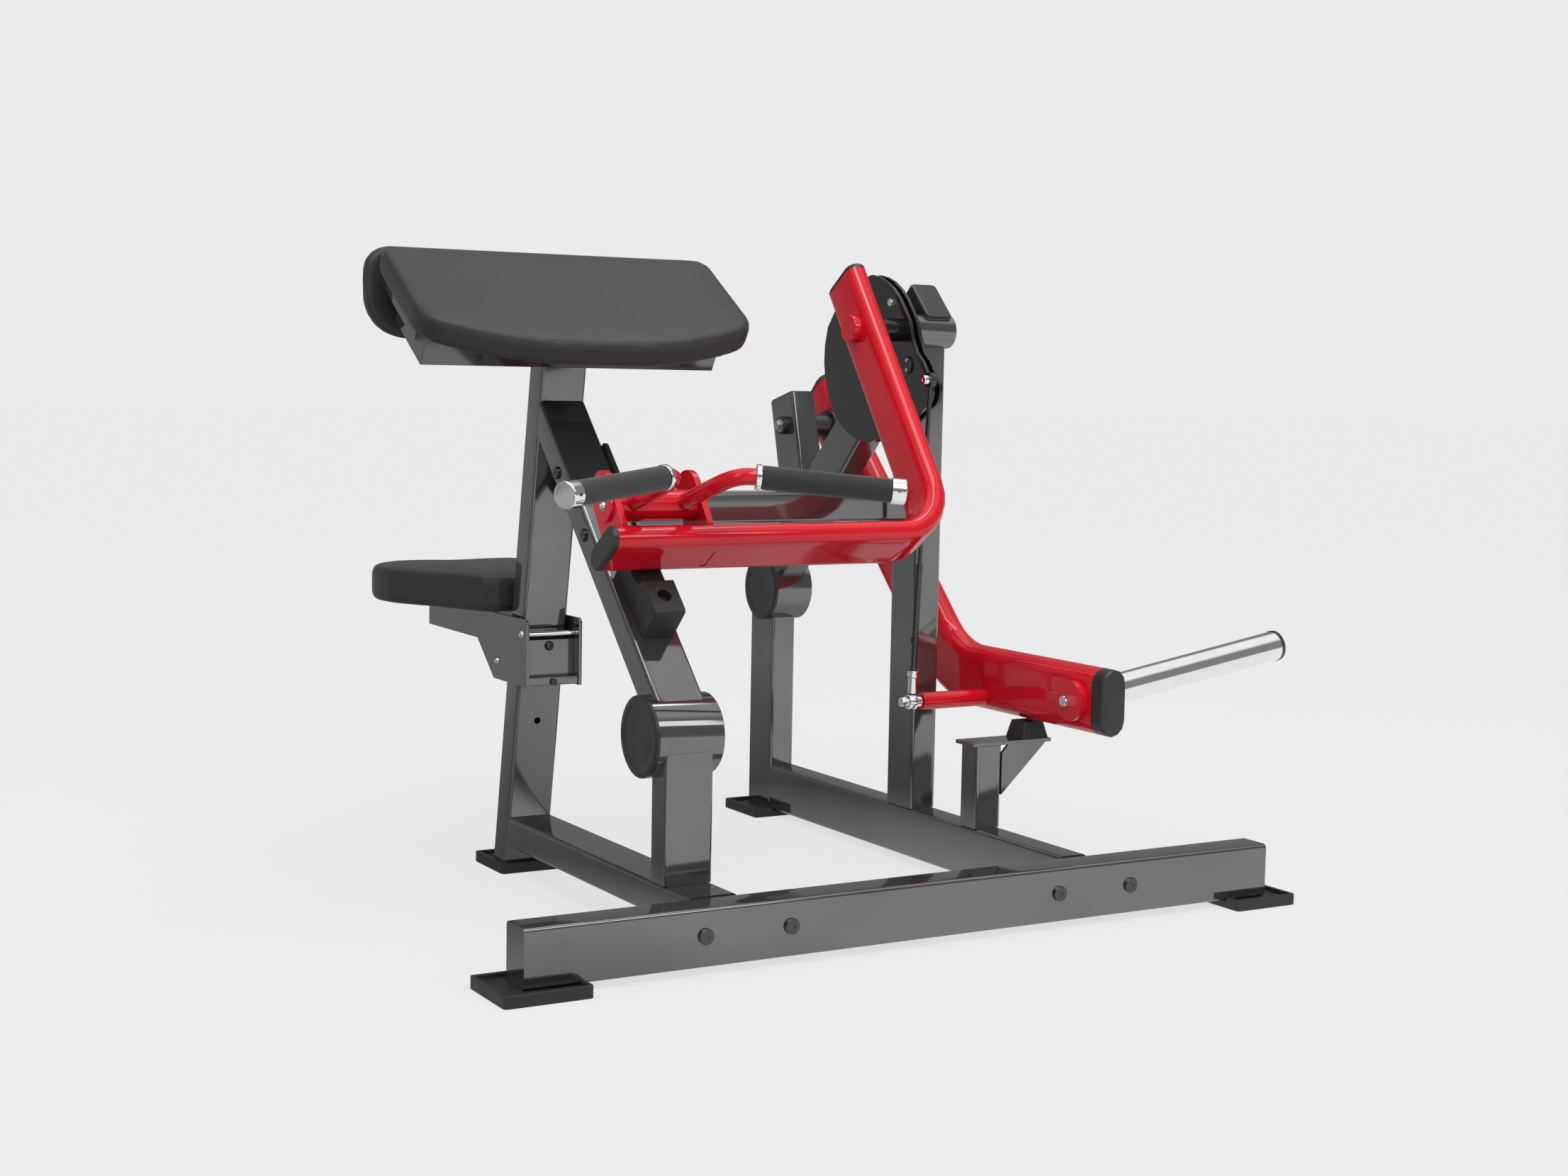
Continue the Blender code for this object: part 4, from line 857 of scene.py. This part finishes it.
def evened(mesh, values):
    """Average values with their neighbours' over and over, which takes out small creases."""
    ends = np.zeros(len(mesh.edges) * 2, dtype=np.int64)
    mesh.edges.foreach_get("vertices", ends)
    first, second = ends.reshape(-1, 2).T
    count = np.bincount(ends, minlength=len(values))[:, None] + 1
    for _ in range(EVEN_STEPS):
        total = values.copy()
        np.add.at(total, first, values[second])
        np.add.at(total, second, values[first])
        values = total / count
    return values


def settle(item, rest):
    """Keep the outward part of how far each point has moved from rest, up to SWELL."""
    moved = mesh_points(item.data) - rest
    normals = np.zeros(len(moved) * 3)
    item.data.vertices.foreach_get("normal", normals)
    normals = normals.reshape(-1, 3)
    outward = np.clip((moved * normals).sum(1), 0.0, SWELL)
    outward = evened(item.data, outward[:, None])
    points = rest + normals * outward
    item.data.vertices.foreach_set("co", points.ravel())
    item.data.update()


def cushions():
    cushion("preacher_pad", "frame", -pad_normal(), "arm_cushion")
    cushion("chest_pad", "frame", -AXIS_Y, "chest_cushion")
    cushion("seat_pad", "seat_carriage", -AXIS_Z, "seat_cushion")


def pad_normal():
    """Unit vector out of the arm pad's top, from the board's largest face."""
    mesh = frame["nodes"]["pad_board"].data
    face = max(mesh.polygons, key=lambda polygon: polygon.area)
    normal = face.normal.copy()
    return normal if normal.z > 0 else -normal


# ---------------------------------------------------------------- stage
def by_ray(tree, seen, mirrored, other):
    """One shader for the camera's rays, one for mirrored rays and one for all the rest."""
    rays = tree.nodes.new("ShaderNodeLightPath")
    away = tree.nodes.new("ShaderNodeMixShader")
    mix = tree.nodes.new("ShaderNodeMixShader")
    links = tree.links
    links.new(rays.outputs["Is Glossy Ray"], away.inputs[0])
    links.new(other.outputs[0], away.inputs[1])
    links.new(mirrored.outputs[0], away.inputs[2])
    links.new(rays.outputs["Is Camera Ray"], mix.inputs[0])
    links.new(away.outputs[0], mix.inputs[1])
    links.new(seen.outputs[0], mix.inputs[2])
    return mix.outputs[0]


def grade(ramp, stops):
    """Set a colour ramp to grey tones given as (position, tone)."""
    elements = ramp.color_ramp.elements
    while len(elements) < len(stops):
        elements.new(0.5)
    for stop, (position, tone) in zip(elements, stops):
        stop.position = position
        stop.color = (tone, tone, tone, 1.0)


def floor_material():
    """Pale floor with soft shadows; in reflections it glows with painted light in front and to
    the right, and painted shade just behind and left of the machine.
    """
    recipe = Recipe("floor", (FLOOR_PAINT, FLOOR_PAINT, FLOOR_PAINT), 0.9)
    recipe.shader.inputs["Specular IOR Level"].default_value = 0.0
    recipe.shader.inputs["Emission Color"].default_value = (1.0, 1.0, 1.0, 1.0)
    recipe.shader.inputs["Emission Strength"].default_value = FLOOR_GLOW
    dot = recipe.add("ShaderNodeVectorMath", operation="DOT_PRODUCT")
    dot.inputs[1].default_value = MIRROR_TOWARDS
    recipe.link(recipe.place, dot.inputs[0])
    # Painted light and painted shadow on the floor, seen only in the machine's reflections.
    ramp = recipe.add("ShaderNodeValToRGB")
    grade(ramp, MIRROR_PAINTED_LIGHT_TONES)
    reach = recipe.remap(dot.outputs["Value"], 0.0, 1.0, MIRROR_FROM, MIRROR_TO)
    recipe.link(reach, ramp.inputs["Fac"])
    mirrored = recipe.add("ShaderNodeEmission")
    recipe.link(ramp.outputs["Color"], mirrored.inputs["Color"])
    bounced = recipe.add("ShaderNodeEmission")
    bounced.inputs["Strength"].default_value = FLOOR_BOUNCE
    output = recipe.tree.nodes["Material Output"]
    recipe.link(by_ray(recipe.tree, recipe.shader, mirrored, bounced), output.inputs["Surface"])
    return recipe.material


def build_floor():
    mesh = bpy.data.meshes.new("floor")
    corners = [(-FLOOR_HALF, -FLOOR_HALF, 0), (FLOOR_HALF, -FLOOR_HALF, 0),
               (FLOOR_HALF, FLOOR_HALF, 0), (-FLOOR_HALF, FLOOR_HALF, 0)]
    mesh.from_pydata(corners, [], [(0, 1, 2, 3)])
    mesh.materials.append(floor_material())
    floor = bpy.data.objects.new("floor", mesh)
    bpy.context.scene.collection.objects.link(floor)


def sky(tree, direction, towards, stops):
    """Background graded by how far a direction leans towards one, from 0 away to 1."""
    dot = tree.nodes.new("ShaderNodeVectorMath")
    dot.operation = "DOT_PRODUCT"
    dot.inputs[1].default_value = Vector(towards).normalized()
    half = tree.nodes.new("ShaderNodeMath")
    half.operation = "MULTIPLY_ADD"
    half.inputs[1].default_value = 0.5
    half.inputs[2].default_value = 0.5
    ramp = tree.nodes.new("ShaderNodeValToRGB")
    grade(ramp, stops)
    shader = tree.nodes.new("ShaderNodeBackground")
    tree.links.new(direction.outputs["Generated"], dot.inputs[0])
    tree.links.new(dot.outputs["Value"], half.inputs[0])
    tree.links.new(half.outputs["Value"], ramp.inputs["Fac"])
    tree.links.new(ramp.outputs["Color"], shader.inputs["Color"])
    return shader


def build_world():
    """Even pale background; what lights the machine is brighter in front and above."""
    world = bpy.data.worlds.new("studio")
    bpy.context.scene.world = world
    world.use_nodes = True
    tree = world.node_tree
    tree.nodes.clear()
    direction = tree.nodes.new("ShaderNodeTexCoord")
    lit = sky(tree, direction, LIT_TOWARDS, LIT_BANDS)
    mirrored = sky(tree, direction, STUDIO_TOWARDS, STUDIO_BANDS)
    seen = tree.nodes.new("ShaderNodeBackground")
    seen.inputs["Color"].default_value = (BACKDROP, BACKDROP, BACKDROP, 1.0)
    output = tree.nodes.new("ShaderNodeOutputWorld")
    tree.links.new(by_ray(tree, seen, mirrored, lit), output.inputs["Surface"])


def add_light(name, kind, place, target, **values):
    light = bpy.data.lights.new(name, kind)
    for key, value in values.items():
        setattr(light, key, value)
    item = bpy.data.objects.new(name, light)
    bpy.context.scene.collection.objects.link(item)
    item.location = place
    aim = Vector(target) - Vector(place)
    item.rotation_euler = aim.to_track_quat("-Z", "Y").to_euler()


def build_lights():
    add_light("key", "SUN", SUN_AT, SUN_TARGET, energy=SUN_POWER, angle=SUN_SPREAD)
    for name, place, width, height, power in PANELS:
        add_light(name, "AREA", place, PANEL_TARGET, shape="RECTANGLE", size=width,
                  size_y=height, energy=power)


def build_camera():
    camera = bpy.data.cameras.new("camera")
    camera.lens = LENS
    camera.sensor_width = SENSOR
    camera.clip_end = CAMERA_REACH
    forward = Vector(CAMERA_FORWARD).normalized()
    right = Vector(CAMERA_RIGHT)
    right = (right - forward * right.dot(forward)).normalized()
    up = right.cross(forward)
    turn = Matrix((right, up, -forward)).transposed().to_4x4()
    item = bpy.data.objects.new("camera", camera)
    item.matrix_world = Matrix.Translation(CAMERA_AT) @ turn
    bpy.context.scene.collection.objects.link(item)
    bpy.context.scene.camera = item
    bpy.context.scene.view_settings.view_transform = "Standard"


build_camera()
dress_frame()
beam_fixings()
frame_details()
tube_plugs()
seat_details()
arm_details()
grip("left", -AXIS_X)
grip("right", AXIS_X)
weight_details()
link_details()
cushions()
build_floor()
build_world()
build_lights()
